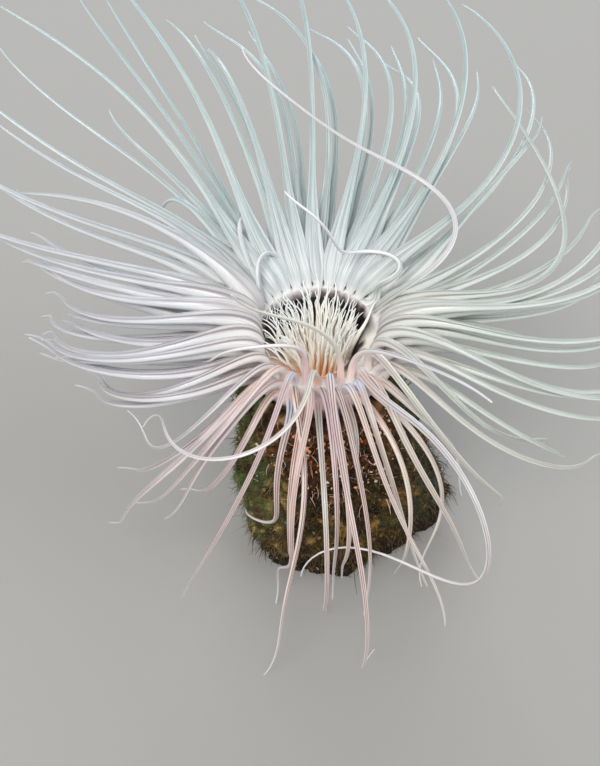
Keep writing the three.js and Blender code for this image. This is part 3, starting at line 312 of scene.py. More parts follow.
def sprout(loops, loop_uv, feet, normals, lines, radius, rings, start, first_angle, kind, seeds, azim, strips, flare, waves):
    """Grows tentacles out of closed loops of vertices. loops (n, sides) run anticlockwise seen from
    outside, starting at angle first_angle from the oral side."""
    n, sides = loops.shape
    index = stations(lines, rings, start)
    steps = lines.shape[1] - 1
    u = index / steps
    p = at(lines, index)
    lengths = np.linalg.norm(np.diff(lines, axis=1), axis=-1).sum(1)
    eps = 0.35
    tangent = norm(at(lines, np.minimum(index + eps, steps)) - at(lines, np.maximum(index - eps, 0)))
    travelled = u * lengths[:, None]
    settle = smooth(0.0, flare * 4.5, travelled)[..., None]
    facing = norm((1 - settle) * normals[:, None] + settle * tangent)
    inward = norm(np.stack([-np.cos(azim), -np.sin(azim), np.zeros(n)], -1))
    inward = crown_dir(inward)
    oral = norm(inward - (inward * normals).sum(-1, keepdims=True) * normals)
    g = np.radians(first_angle + 360.0 / sides * np.arange(sides))
    r = radius(u, travelled)
    # soft swellings and a slight flattening, different on each tentacle
    r = r * (1 + waves * noise(np.stack([travelled / 9.0, seeds[:, None] * 97.0 + 0 * travelled, 0 * travelled], -1), 5))
    flat = 1 - 0.10 * smooth(0.02, 0.2, u)
    base_side = np.cross(normals, oral)
    # flare rings between the loop on the body and the first ring round the tentacle
    loop_co = np.concatenate(skin.co)[loops]
    cur_oral = norm(oral - (oral * facing[:, 0]).sum(-1, keepdims=True) * facing[:, 0])
    ring_pts, orals = [], []
    for k in range(rings):
        f = facing[:, k]
        cur_oral = norm(cur_oral - (cur_oral * f).sum(-1, keepdims=True) * f)
        side = np.cross(f, cur_oral)
        rr = r[:, k][:, None]
        q = p[:, k][:, None] + (np.cos(g)[None] * rr * flat[:, k][:, None])[..., None] * cur_oral[:, None] + (np.sin(g)[None] * rr)[..., None] * side[:, None]
        ring_pts.append(q)
        orals.append(cur_oral)
    ring_pts = np.stack(ring_pts, 1)
    first = ring_pts[:, 0]
    foot_dir = norm((np.cos(g)[None, :, None] * oral[:, None] + np.sin(g)[None, :, None] * base_side[:, None]))
    control = feet[:, None] + foot_dir * (r[:, :1] * 1.08)[..., None] + normals[:, None] * 0.12 * flare
    flare_pts = []
    for t in (0.4, 0.75):
        flare_pts.append((1 - t) ** 2 * loop_co + 2 * t * (1 - t) * control + t * t * first)
    flare_pts = np.stack(flare_pts, 1)
    # the tip: two shrinking rings and a point
    end_t = tangent[:, -1]
    tip = []
    for t, s in ((0.55, 0.82), (0.9, 0.42)):
        c = p[:, -1] + end_t * (r[:, -1] * t)[:, None]
        tip.append(c[:, None] + (ring_pts[:, -1] - p[:, -1][:, None]) * s)
    tip = np.stack(tip, 1)
    allr = np.concatenate([flare_pts, ring_pts, tip], 1)
    total = allr.shape[1]
    uu = np.concatenate([np.zeros((n, 2)), u, np.ones((n, 2))], 1)[..., None]
    mm = np.concatenate([np.array([[-0.8, -0.4]]).repeat(n, 0), travelled, lengths[:, None].repeat(2, 1)], 1)[..., None]
    loc = uncrown(allr)
    ids = skin.add(allr, u=uu, cg=np.cos(g)[None, None], sg=np.sin(g)[None, None], kind=kind, seed=seeds[:, None, None],
                   rho=np.hypot(loc[..., 0], loc[..., 1]), up=loc[..., 2], azim=np.degrees(azim)[:, None, None] + 0 * loc[..., 0], mm=mm)
    tips = skin.add(p[:, -1] + end_t * r[:, -1][:, None], u=1.0, cg=0.0, sg=0.0, kind=kind, seed=seeds, azim=np.degrees(azim), mm=lengths)
    j2 = (np.arange(sides) + 1) % sides
    # faces and their places on the map: the flare keeps to the body's map, the tentacle has a strip
    skin.quads(np.stack([loops, loops[:, j2], ids[:, 0][:, j2], ids[:, 0]], -1), np.stack([loop_uv, loop_uv[:, j2], (loop_uv * 0.62 + loop_uv.mean(1, keepdims=True) * 0.38)[:, j2], loop_uv * 0.62 + loop_uv.mean(1, keepdims=True) * 0.38], 2))
    x0, y0, w, h = (np.asarray(v) for v in strips)
    across = np.linspace(0, 1, sides + 1)
    along = np.concatenate([[-0.02, -0.01], np.linspace(0, 1, rings), [1.004, 1.008]])
    along = (along - along[0]) / (along[-1] - along[0]) * 0.98
    for k in range(total - 1):
        a, b = ids[:, k], ids[:, k + 1]
        xa = x0[:, None] + w * across[None, :-1]
        xb = x0[:, None] + w * across[None, 1:]
        ya = np.broadcast_to((y0 + h * along[k])[:, None], xa.shape)
        yb = np.broadcast_to((y0 + h * along[k + 1])[:, None], xa.shape)
        skin.quads(np.stack([a, a[:, j2], b[:, j2], b], -1), np.stack([np.stack([xa, ya], -1), np.stack([xb, ya], -1), np.stack([xb, yb], -1), np.stack([xa, yb], -1)], 2))
    xa = x0[:, None] + w * across[None, :-1]
    xb = x0[:, None] + w * across[None, 1:]
    ya = np.broadcast_to((y0 + h * along[-1])[:, None], xa.shape)
    yt = np.broadcast_to((y0 + h)[:, None], xa.shape)
    last = ids[:, -1]
    tt = np.broadcast_to(tips[:, None], last.shape)
    skin.tris(np.stack([last, last[:, j2], tt], -1), np.stack([np.stack([xa, ya], -1), np.stack([xb, ya], -1), np.stack([(xa + xb) / 2, yt], -1)], 2))


# --- throat, lips and the bed of the labial tentacles
NL = 2 * LABIAL_COLUMNS
L0 = 0.0
rings = []
throat = [(0.5, 1.7, -23.4, 1.0), (0.8, 2.2, -21.8, 3.0), (1.2, 2.8, -20.4, 5.0), (2.1, 3.3, -19.3, 6.6), (2.9, 3.65, -18.9, 7.7), (3.8, 4.0, -19.0, 8.9)]
for sx, sy, z, arc in throat:
    phi = np.radians(360.0 * np.arange(NL) / NL)
    frill = 1 + (0.10 * np.cos(7 * phi) if 5 < arc < 9 else 0 * phi)
    p = np.stack([sx * np.cos(phi) * frill, sy * np.sin(phi) * frill, z + 0.25 * np.cos(7 * phi) * (1 if 6 < arc < 9 else 0)], -1)
    ids = skin.add(crown(p), kind=0.0, rho=np.hypot(p[:, 0], p[:, 1]), azim=np.degrees(phi), mm=arc)
    rings.append({"id": ids, "phi": phi, "uv": body_uv(arc, phi), "arc": arc, "n": NL})
close_ring(rings[0], (0, 0, -23.6), 0.2, False)
for a, b in zip(rings[:-1], rings[1:]):
    join_rings(a, b)
# the bed: lines of vertices round the mouth, two steps to a cell each way
bed_r = np.linspace(LABIAL_IN, LABIAL_OUT, 2 * LABIAL_RINGS + 1)
bed = []
for j, rr in enumerate(bed_r):
    phi = np.radians(360.0 * np.arange(NL) / NL)
    arc = 10.0 + (rr - LABIAL_IN) * 1.37
    edge = (np.arange(NL) % 2 == 0) | (j % 2 == 0)
    p = np.stack([rr * np.cos(phi), rr * np.sin(phi), funnel(rr) - np.where(edge, 0.25, 0.0)], -1)
    bed.append({"p": p, "phi": phi, "uv": body_uv(arc, phi), "arc": arc, "edge": edge, "rr": rr})
for b in bed:
    ids = np.full(NL, -1)
    ids[b["edge"]] = skin.add(crown(b["p"][b["edge"]]), kind=0.0, rho=b["rr"], azim=np.degrees(b["phi"][b["edge"]]), mm=b["arc"])
    b["id"], b["n"] = ids, NL
join_rings(rings[-1], bed[0])
loops, luv, feet, nrm, az = [], [], [], [], []
LOOP2 = [(1, 0), (0, 0), (0, 1), (0, 2), (1, 2), (2, 2), (2, 1), (2, 0)]
for c in range(LABIAL_COLUMNS):
    for k in range(LABIAL_RINGS):
        fr, turn = bed_r[2 * k + 1], (0.0, 3.0, -3.0, 2.0, -2.0)[k]
        loops.append([bed[2 * k + j]["id"][(2 * c + i) % NL] for i, j in LOOP2])
        luv.append([bed[2 * k + j]["uv"][(2 * c + i) % NL] for i, j in LOOP2])
        a = math.radians((c + 0.5) * 360.0 / LABIAL_COLUMNS + turn)
        feet.append((fr * math.cos(a), fr * math.sin(a), float(funnel(fr))))
        slope = math.atan2(float(funnel(fr + 0.5) - funnel(fr - 0.5)), 1.0)
        nrm.append((-math.sin(slope) * math.cos(a), -math.sin(slope) * math.sin(a), math.cos(slope)))
        az.append(a)
loops, luv, az = np.array(loops), np.array(luv), np.array(az)
feet, nrm = crown(np.array(feet)), crown_dir(np.array(nrm))
NLAB = len(loops)
back_, front_ = np.maximum(0, np.sin(az)) ** 2, np.maximum(0, -np.sin(az)) ** 2
left_, right_ = np.maximum(0, -np.cos(az)) ** 2, np.maximum(0, np.cos(az)) ** 2
ring_of = (np.arange(NLAB) % LABIAL_RINGS) * 2.0 / (LABIAL_RINGS - 1)
wild = rng.normal(size=(8, NLAB)).clip(-1.8, 1.8)
rise, long_ = (sum(w * LABIAL_STAND[q][i] for w, q in ((back_, "back"), (front_, "front"), (left_, "left"), (right_, "right"))) for i in (0, 1))
l_len = long_ - RING_SHORTER * ring_of + 2.4 * wild[0] + 2.0 * left_
# those in front on the left spread low over the disc
spread_ = np.maximum(0, np.cos(az - math.radians(215))) ** 2
rise = rise - (4.0 + 9.0 * ring_of) * spread_
l_len = l_len + 2.5 * ring_of * spread_
l_pitch = np.stack([rise - RING_FALL * ring_of + 4.0 * wild[1], -5 + (6 + 8 * left_) * wild[2], (6 + 12 * left_) * wild[3]], -1)
l_head = np.stack([-LEFT_SWEEP * left_ + 7 * wild[4], (10 + 20 * left_) * wild[5], (8 + 16 * left_) * wild[6]], -1)
# at the back and on the right three in five are shorter, so that the dark disc shows between the tips
l_len = l_len - 3.6 * smooth(-0.25, 0.35, np.sin(az + 0.45)) * (np.arange(NLAB) * 3 % 10 < 6)
# two long ones on the right lean out over the dark disc
for n_, (leng, up_, turn_) in {149: (26.5, 58.0, 42.0), 146: (25.0, 70.0, 30.0)}.items():
    l_len[n_], l_pitch[n_], l_head[n_] = leng, (up_, -4.0, 3.0), (turn_, 6.0, 0.0)
llines = centre_lines(feet, np.degrees(az), l_len, np.zeros(NLAB), l_pitch, l_head, LABIAL_STEPS)
# their ends wave and curl, most of all on the left
wave_u = np.linspace(0, 1, LABIAL_STEPS + 1)[None]
wave_p = 2 * math.pi * (rng.random((NLAB, 1)) + (1.1 + 0.5 * rng.random((NLAB, 1))) * wave_u)
wave_a = (0.45 + 1.3 * left_[:, None] + 0.6 * back_[:, None]) * smooth(0.25, 0.95, wave_u)
llines = llines + wave_a[..., None] * (np.cos(wave_p)[..., None] * crown_dir(np.array([1.0, 0, 0])) + np.sin(wave_p)[..., None] * crown_dir(np.array([0, 0.6, 0.8])))
k = np.arange(NLAB)
lab_strips = (0.40 + 0.6 * (k % 30) / 30 + 0.002, 0.01 + 0.07 * (k // 30), 0.6 / 30 - 0.005, 0.062)
l_thick = ((1 + 0.13 * wild[7]) * np.array([0.78, 0.9, 1.0, 1.04, 1.0])[k % LABIAL_RINGS] * (1 - 0.22 * left_))[:, None]
l_thick[149] = 1.6
lseed = rng.random(NLAB)
l_rho = bed_r[1::2][np.arange(NLAB) % LABIAL_RINGS]
sprout(loops, luv, feet, nrm, llines, lambda u, d: (0.15 + 0.75 * np.clip(1 - u ** 1.05, 0, 1)) * l_thick, 16, 0.5, 0.0, 2.0, lseed, az, lab_strips, 0.35, 0.06)

# --- the oral disc
ND = 3 * SECTORS
START = -180.0 / SECTORS
disc_rings = []
arc0 = bed[-1]["arc"]
for rr in (14.6, 16.4, 18.4, 20.2, 22.0, 23.6):
    phi_i = np.arange(ND)
    fold = 0.22 * np.cos(2 * math.pi * phi_i / 3) * smooth(16, 22, rr)
    disc_rings.append(body_ring(ND, START, rr, funnel(rr) + fold - 0.1, arc0 + (rr - LABIAL_OUT) * 1.43))
inner = {**bed[-1]}
inner["phi"] = inner["phi"]
# line the two rings up by angle: the finer one starts half a sector earlier
join_rings({"id": inner["id"], "phi": inner["phi"], "uv": inner["uv"], "n": NL}, {"id": np.roll(disc_rings[0]["id"], -2), "phi": np.append(disc_rings[0]["phi"][2:], disc_rings[0]["phi"][:2] + 2 * math.pi), "uv": np.roll(disc_rings[0]["uv"], -2, axis=0), "n": ND})
for a, b in zip(disc_rings[:-1], disc_rings[1:]):
    join_rings(a, b)

# --- the margin, three cells to a sector, each with a tentacle
arc1 = disc_rings[-1]["arc"]
rim = []
along = [0.0]
for a, b in zip(RIM[:-1], RIM[1:]):
    along.append(along[-1] + math.hypot(b[0] - a[0], b[1] - a[1]))
for j in range(10):
    q, f = divmod(j, 3)
    a, b = RIM[min(q, 2)], RIM[min(q, 2) + 1]
    f = f / 3 if q < 3 else 1.0
    rr, zz = a[0] + (b[0] - a[0]) * f, a[1] + (b[1] - a[1]) * f
    phi = np.radians(START + 360.0 * np.arange(ND) / ND)
    arc = arc1 + 1.2 + np.interp(q + f if q < 3 else 3.0, [0, 1, 2, 3], along)
    edge = (np.arange(ND) % 3 == 0) | (j % 3 == 0)
    dip = 0.35 * edge
    rim.append({"p": np.stack([rr * np.cos(phi), rr * np.sin(phi), zz - dip], -1), "phi": phi, "uv": body_uv(arc, phi), "arc": arc, "edge": edge, "rr": rr, "n": ND})
for b in rim:
    ids = np.full(ND, -1)
    ids[b["edge"]] = skin.add(crown(b["p"][b["edge"]]), kind=0.0, rho=b["rr"], azim=np.degrees(b["phi"][b["edge"]]), mm=b["arc"])
    b["id"] = ids
join_rings(disc_rings[-1], rim[0])
loops, luv, feet, nrm, az = [], [], [], [], []
LOOP3 = [(1, 0), (0, 0), (0, 1), (0, 2), (0, 3), (1, 3), (2, 3), (3, 3), (3, 2), (3, 1), (3, 0), (2, 0)]
for s in range(SECTORS):
    for k, (fr, fz, turn) in enumerate(ROWS):
        loops.append([rim[3 * k + j]["id"][(3 * s + i) % ND] for i, j in LOOP3])
        luv.append([rim[3 * k + j]["uv"][(3 * s + i) % ND] for i, j in LOOP3])
        a = math.radians(10.0 * s + turn)
        feet.append((fr * math.cos(a), fr * math.sin(a), fz))
        dr, dz = RIM[k + 1][0] - RIM[k][0], RIM[k + 1][1] - RIM[k][1]
        h = math.hypot(dr, dz)
        nrm.append((-dz / h * math.cos(a), -dz / h * math.sin(a), dr / h))
        az.append(a)
loops, luv, az = np.array(loops), np.array(luv), np.array(az)
feet, nrm = crown(np.array(feet)), crown_dir(np.array(nrm))
NM = len(loops)
mlines = centre_lines(feet, np.degrees(az), MARGINAL[:, 0], MARGINAL[:, 1], MARGINAL[:, 2:6], MARGINAL[:, 6:10], STEPS)
k = np.arange(NM)
mar_strips = ((k % 36) / 36 + 0.003, 0.375 + 0.206 * (k // 36), 1 / 36 - 0.007, 0.2)
mseed = rng.random(NM)
fr_ = np.maximum(0, -np.sin(az))
taper = np.array([SLENDER_TAPER if (i // 3, i % 3) in SLENDER else TAPER - FRONT_TAPER * fr_[i] for i in range(NM)])[:, None]
thick = (1 - FRONT_SLIM * fr_ + (UNLIKE[0] + UNLIKE[1] * fr_) * uneven(np.arange(NM), 9))[:, None]
# those that curl on their own over the others keep their own girth
alone = np.array([(i // 3, i % 3) not in SLENDER and i not in (9, 12, 42, 45) for i in range(NM)])[:, None]
veil = VEIL * (0.7 * smooth(-0.55, 0.1, np.sin(az)) + 0.3 * smooth(0.15, 0.75, np.sin(az)))[:, None] * alone
flat_ = (0.5 * smooth(0.1, 0.7, -np.cos(az)) * smooth(-0.97, -0.6, np.sin(az)))[:, None] * alone
close_ = ((1.1 + 0.6 * smooth(0.1, 0.8, -np.cos(az))) * smooth(-0.8, -0.25, np.sin(az)))[:, None] * alone
sprout(loops, luv, feet, nrm, mlines, lambda u, d: close_ * smooth(0.2, 5, d) * (1 - smooth(6, 44, d)) + flat_ * smooth(3, 12, d) * (1 - smooth(34, 105, d)) + 0.34 + thick * 1.11 * np.clip(1 - u ** taper, 0, 1) ** 0.9 + SWELL * np.exp(-d / SWELL_FADE) + veil * smooth(1, 9, d) * (1 - smooth(12, 62, d)), 46, 1.1, 15.0, 1.0, mseed, az, mar_strips, 1.0, 0.05)

# --- underside of the margin and the column
prev = rim[-1]
arc = prev["arc"]
last = RIM[-1]
for rr, zz in ((33.1, -7.6), (32.6, -9.2), (31.2, -10.9), (29.9, -13.2), (28.2, -16.2), (26.4, -19.0), (25.3, -21.5), (24.5, -24.5), (24.0, -28.0), (23.8, -36.0), (23.7, -44.0), (22.6, -46.0), (12.0, -46.0)):
    arc += math.hypot(rr - last[0], zz - last[1])
    last = (rr, zz)
    phi_i = np.arange(ND)
    pleat = 0.25 * np.cos(2 * math.pi * phi_i / 3) * (1 if -30 < zz < -9 else 0)
    ring = body_ring(ND, START, rr + pleat, zz, arc)
    join_rings(prev, ring)
    prev = ring
close_ring(prev, (0, 0, -46.0), arc + 12, True)


def make_mesh(name, co, faces, uv=None, smooth_shade=True):
    """A mesh object from points (mm) and faces (n, 4), where a 4th number of -1 marks a triangle."""
    me = bpy.data.meshes.new(name)
    counts = np.where(faces[:, 3] < 0, 3, 4)
    loops_total = int(counts.sum())
    me.vertices.add(len(co))
    me.vertices.foreach_set("co", (np.asarray(co) / 1000.0).astype(np.float32).ravel())
    me.loops.add(loops_total)
    me.polygons.add(len(faces))
    keep = np.ones(faces.shape, bool)
    keep[:, 3] = faces[:, 3] >= 0
    me.loops.foreach_set("vertex_index", faces[keep].astype(np.int32))
    starts = np.concatenate([[0], np.cumsum(counts)[:-1]]).astype(np.int32)
    me.polygons.foreach_set("loop_start", starts)
    me.polygons.foreach_set("loop_total", counts.astype(np.int32))
    me.update(calc_edges=True)
    if uv is not None:
        layer = me.uv_layers.new(name="OFBake")
        layer.uv.foreach_set("vector", uv[keep].astype(np.float32).ravel())
    me.polygons.foreach_set("use_smooth", np.full(len(faces), smooth_shade))
    me.validate()
    me.update()
    ob = bpy.data.objects.new(name, me)
    bpy.context.scene.collection.objects.link(ob)
    return ob


def set_float(me, name, values):
    a = me.attributes.new(name, "FLOAT", "POINT")
    a.data.foreach_set("value", np.asarray(values, np.float32))


def set_colour(me, name, rgb):
    a = me.attributes.new(name, "FLOAT_COLOR", "POINT")
    rgba = np.concatenate([np.asarray(rgb, float), np.ones((len(rgb), 1))], 1)
    a.data.foreach_set("color", rgba.astype(np.float32).ravel())


def srgb(*c):
    c = np.array(c, float) / 255.0
    return np.where(c <= 0.04045, c / 12.92, ((c + 0.055) / 1.055) ** 2.4)


def mix(a, b, t):
    t = np.asarray(t)[..., None]
    return a * (1 - t) + b * t


def bump_at(deg, centre, width):
    """1 at an azimuth and 0 a width away from it, all round."""
    d = np.abs((deg - centre + 180) % 360 - 180)
    return 1 - smooth(0, width, d)


# ---------------------------------------------------------------- the skin's colours
co = np.concatenate(skin.co)
faces = np.concatenate(skin.faces)
uvs = np.concatenate(skin.uv)
att = {k: np.concatenate(v) for k, v in skin.att.items()}
kind, u, seed, azim, rho, mm = att["kind"], att["u"], att["seed"], att["azim"] % 360, att["rho"], att["mm"]
body, marg, lab = kind < 0.5, (kind > 0.5) & (kind < 1.5), kind > 1.5

front = bump_at(azim, 268, 75)
left = bump_at(azim, 190, 72)
back = bump_at(azim, 95, 85)
right = bump_at(azim, 5, 60)


def blend_round(f_, l_, b_, r_c, sharp=1.0):
    """A colour that changes round the crown; with `sharp` above 1 the front's share is narrower."""
    f = front ** sharp
    total = f + left + back + right + 1e-6
    return (f[:, None] * srgb(*f_) + left[:, None] * srgb(*l_) + back[:, None] * srgb(*b_) + right[:, None] * srgb(*r_c)) / total[:, None]


# tints round the crown: the peach, pink and lavender are the tentacles' own colour; the green-blue tint at the back and
# on the right is partly their own and partly a painted cast of the greenish water light
near = blend_round((250, 222, 212), (212, 206, 205), (190, 199, 199), (210, 209, 201))
mid = blend_round((222, 186, 176), (192, 191, 198), (174, 194, 191), (182, 192, 183), 2.2)
far = blend_round((206, 198, 200), (205, 208, 216), (162, 194, 197), (176, 191, 186), 1.5)
marginal_colour = mix(mix(near, mid, smooth(0.05, 0.30, u)), far, smooth(0.45, 0.95, u))
warm = np.clip(noise(np.stack([seed * 61.0, 0 * seed, 0 * seed], -1), 9) * 1.3, -1, 1)
# in front some are flushed peach or mauve, and some olive-white
marginal_colour = mix(marginal_colour, srgb(232, 174, 142), np.clip(warm, 0, 1) * 0.8 * front ** 2 * (1 - smooth(0.06, 0.42, u)))
marginal_colour = mix(marginal_colour, srgb(202, 164, 184), np.clip(-warm, 0, 1) * 0.7 * front ** 1.4 * (1 - smooth(0.1, 0.6, u)))
marginal_colour = mix(marginal_colour, srgb(214, 214, 190), bump_at(azim, 305, 35)[()] * 0.45 * smooth(0.03, 0.2, u))
# painted highlight: bluish white glints on the shoulders where the innermost ones in front bend over the margin
shoulder_glint = np.maximum(bump_at(azim, 249, 1.6), bump_at(azim, 279, 1.6)) * np.exp(-((mm - 9.0) / 5.5) ** 2)
marginal_colour = mix(marginal_colour, srgb(206, 206, 190), (bump_at(azim, 289, 0.6) > 0.2) * smooth(8, 24, mm) * 0.8)
second_shoulder_glint = np.maximum(bump_at(azim, 291, 1.6), bump_at(azim, 301, 1.6)) * np.exp(-((mm - 5.0) / 5.0) ** 2)
# lay the painted bluish white highlights onto both sets of shoulders
marginal_colour = mix(marginal_colour, srgb(222, 234, 255), np.clip(1.3 * (shoulder_glint + second_shoulder_glint), 0, 0.95))
# the long thin ones are white beyond their root
slender = np.isin(seed, mseed[[3 * a + b for a, b in SLENDER]]) & marg
across = bump_at(azim, 269, 0.6) > 0.2  # the one that crosses in front is greyer for its first part
marginal_colour = mix(marginal_colour, srgb(206, 206, 193), across * smooth(3, 12, mm) * (1 - smooth(48, 74, mm)) * 0.8)
marginal_colour = mix(marginal_colour, srgb(226, 222, 226), slender * np.where(across, smooth(48, 74, mm), smooth(10, 45, mm)) * 0.85 * (bump_at(azim, 289, 0.6) < 0.2))
# whiter close to the margin at the back
marginal_colour = mix(marginal_colour, srgb(218, 223, 223), bump_at(azim, 90, 80) * np.exp(-(np.maximum(mm, 0) / 15.0) ** 2) * 0.8)
marginal_colour = marginal_colour * (1 + 0.06 * warm)[:, None]

labial_front = bump_at(azim, 273, 80)
foot_of = dict(zip(lseed.tolist(), l_rho.tolist()))
root_rho = np.array([foot_of.get(s, 99.0) for s in seed.tolist()])
labial_root = mix(srgb(248, 226, 204), srgb(255, 200, 152), np.clip(labial_front * 1.2, 0, 1))
heart = bump_at(azim, 276, 42) * (1 - 0.35 * smooth(9.0, 12.5, root_rho))
labial_colour = mix(mix(labial_root, srgb(255, 242, 224), smooth(0.10 + 0.12 * heart, 0.36 + 0.3 * heart, u)), srgb(251, 250, 238), smooth(0.3 + 0.2 * heart, 0.58 + 0.2 * heart, u))
labial_colour = mix(labial_colour, srgb(238, 240, 240), 0.7 * bump_at(azim, 150, 80) * smooth(0.25, 0.6, u))
labial_colour = mix(labial_colour, srgb(246, 250, 252), 0.6 * smooth(0.6, 0.95, u))
labial_colour = labial_colour * (0.95 + 0.06 * seed)[:, None]

loc = uncrown(co)
r_ = np.hypot(loc[:, 0], loc[:, 1])
streak = noise(np.stack([np.cos(np.radians(azim)) * 22, np.sin(np.radians(azim)) * 22, r_ * 0.12], -1), 3)
mouth_c = srgb(236, 166, 118)
core = bump_at(azim, 272, 70)
bed_c = mix(mix(srgb(252, 230, 212), srgb(255, 196, 146), core), mix(srgb(252, 240, 228), srgb(254, 222, 194), core), smooth(5.5, 11.5, r_))
disc_c = mix(srgb(30, 8, 20), srgb(9, 3, 8), np.clip(0.5 + streak, 0, 1))
# in front and to the left of the mouth the disc is pale; elsewhere it is nearly black
pale_side = bump_at(azim, 248, 82)
disc_c = mix(disc_c, mix(srgb(244, 222, 210), srgb(228, 192, 178), np.clip(0.5 + streak, 0, 1)), np.clip(pale_side * 1.3, 0, 1))
rim_c = mix(np.broadcast_to(srgb(226, 224, 223), co.shape), srgb(206, 178, 172), smooth(28.0, 31.0, r_) * bump_at(azim, 270, 75) * 0.7)
disc_c = mix(disc_c, srgb(232, 228, 222), np.clip(2.2 * smooth(17.8, 19.6, r_ + 1.2 * streak) * bump_at(azim, 336, 50), 0, 1))
column_c = mix(srgb(150, 120, 108), srgb(110, 86, 78), np.clip(0.5 + streak, 0, 1))
body_colour = mix(np.broadcast_to(mouth_c, co.shape), bed_c, smooth(3.8, 6.2, r_))
body_colour = mix(body_colour, disc_c, smooth(12.2, 14.2, r_ + 0.8 * streak))
body_colour = mix(body_colour, srgb(150, 104, 116), smooth(22.2, 23.6, r_ + 1.1 * streak) * 0.4 * bump_at(azim, 90, 95))
body_colour = mix(body_colour, rim_c, smooth(23.0, 24.9, r_ + 0.8 * streak))
body_colour = mix(body_colour, column_c, smooth(-6.0, -10.0, loc[:, 2]) * (r_ > 20))
throat_depth = smooth(-19.6, -22.5, loc[:, 2]) * (r_ < 4)
body_colour = mix(body_colour, srgb(110, 40, 30), throat_depth)

base = np.where(body[:, None], body_colour, np.where(lab[:, None], labial_colour, marginal_colour))
# roots take up the colour of what they grow from
base = np.where(marg[:, None], mix(base, rim_c * 0.96, (1 - smooth(0, 3.5, mm)) * 0.8), base)
base = np.where(lab[:, None], mix(base, bed_c, (1 - smooth(0, 2.0, mm)) * 0.7), base)

skin_ob = make_mesh("anemone_skin", co, faces, uvs)
set_colour(skin_ob.data, "tint", np.clip(base, 0, 1))
set_float(skin_ob.data, "cg", att["cg"])
set_float(skin_ob.data, "sg", att["sg"])
lines_on = np.clip((0.12 + front) * (1 - smooth(0.45, 0.95, u)) + (0.6 * right + 0.5 * left) * (1 - smooth(0.14, 0.5, u)), 0, 1)
lines_on = np.where(marg, smooth(0.5, 5.0, mm) * lines_on, 0.0)
set_float(skin_ob.data, "lines", lines_on * np.clip(0.45 + 1.0 * smooth(0.1, 0.8, seed), 0, 1))
set_float(skin_ob.data, "tentacle", np.where(body, 0.0, np.where(lab, 0.5, 1.0)) * smooth(0.0, 4.0, np.where(body, 0, mm)))
# how much the middle of a marginal tentacle is painted greyer as see-through shade, least near the roots at the back
set_float(skin_ob.data, "glass_shade", np.where(marg, 1 - 0.85 * bump_at(azim, 90, 110) * np.exp(-(np.maximum(mm, 0) / 22.0) ** 2), 0.0) * smooth(0.0, 4.0, np.where(body, 0, mm)))
set_float(skin_ob.data, "fine", np.where(marg, (0.25 + 0.75 * bump_at(azim, 90, 110)) * smooth(1.0, 8.0, mm) * (1 - smooth(0.3, 0.75, u)), 0.0))
set_float(skin_ob.data, "along", mm / 10.0 + seed * 83.0)
set_float(skin_ob.data, "tip", np.where(body, 0.0, u))
FLESH = [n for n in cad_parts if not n.startswith("tube_")]
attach(skin_ob, "root")
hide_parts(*FLESH)


# ---------------------------------------------------------------- material helpers
class Mat:
    def __init__(self, name):
        self.m = bpy.data.materials.new(name)
        self.m.use_nodes = True
        self.t = self.m.node_tree
        self.t.nodes.clear()
        self.out = self.t.nodes.new("ShaderNodeOutputMaterial")
        self.bsdf = self.t.nodes.new("ShaderNodeBsdfPrincipled")
        self.t.links.new(self.bsdf.outputs[0], self.out.inputs["Surface"])

    def link(self, a, b):
        self.t.links.new(a, b)

    def put(self, sock, v):
        if hasattr(v, "is_output"):
            self.link(v, sock)
        else:
            sock.default_value = v

    def attr(self, name, colour=False):
        n = self.t.nodes.new("ShaderNodeAttribute")
        n.attribute_name = name
        return n.outputs["Color" if colour else "Fac"]

    def coords(self):
        return self.t.nodes.new("ShaderNodeTexCoord").outputs["Object"]

    def math(self, op, a, b=None, c=None, clamp=False):
        n = self.t.nodes.new("ShaderNodeMath")
        n.operation = op
        n.use_clamp = clamp
        self.put(n.inputs[0], a)
        if b is not None:
            self.put(n.inputs[1], b)
        if c is not None:
            self.put(n.inputs[2], c)
        return n.outputs[0]

    def ramp(self, x, a, b, lo=0.0, hi=1.0):
        n = self.t.nodes.new("ShaderNodeMapRange")
        n.interpolation_type = "SMOOTHSTEP"
        self.put(n.inputs["Value"], x)
        n.inputs["From Min"].default_value = a
        n.inputs["From Max"].default_value = b
        n.inputs["To Min"].default_value = lo
        n.inputs["To Max"].default_value = hi
        return n.outputs[0]

    def combine(self, x, y, z):
        n = self.t.nodes.new("ShaderNodeCombineXYZ")
        for s, v in zip(n.inputs, (x, y, z)):
            self.put(s, v)
        return n.outputs[0]

    def noise(self, vector, scale, detail=3.0, rough=0.5):
        n = self.t.nodes.new("ShaderNodeTexNoise")
        self.put(n.inputs["Vector"], vector)
        n.inputs["Scale"].default_value = scale
        n.inputs["Detail"].default_value = detail
        n.inputs["Roughness"].default_value = rough
        return n.outputs[0]

    def voronoi(self, vector, scale):
        n = self.t.nodes.new("ShaderNodeTexVoronoi")
        self.put(n.inputs["Vector"], vector)
        n.inputs["Scale"].default_value = scale
        return n.outputs["Distance"], n.outputs["Color"]

    def mix(self, f, a, b, kind="MIX"):
        n = self.t.nodes.new("ShaderNodeMix")
        n.data_type = "RGBA"
        n.blend_type = kind
        self.put(n.inputs["Factor"], f)
        for s, v in ((n.inputs[6], a), (n.inputs[7], b)):
            if hasattr(v, "is_output"):
                self.link(v, s)
            else:
                s.default_value = (*v, 1.0) if len(v) == 3 else v
        return n.outputs[2]

    def bump(self, height, strength, distance, normal=None):
        n = self.t.nodes.new("ShaderNodeBump")
        n.inputs["Strength"].default_value = strength
        n.inputs["Distance"].default_value = distance
        self.put(n.inputs["Height"], height)
        if normal is not None:
            self.link(normal, n.inputs["Normal"])
        return n.outputs[0]


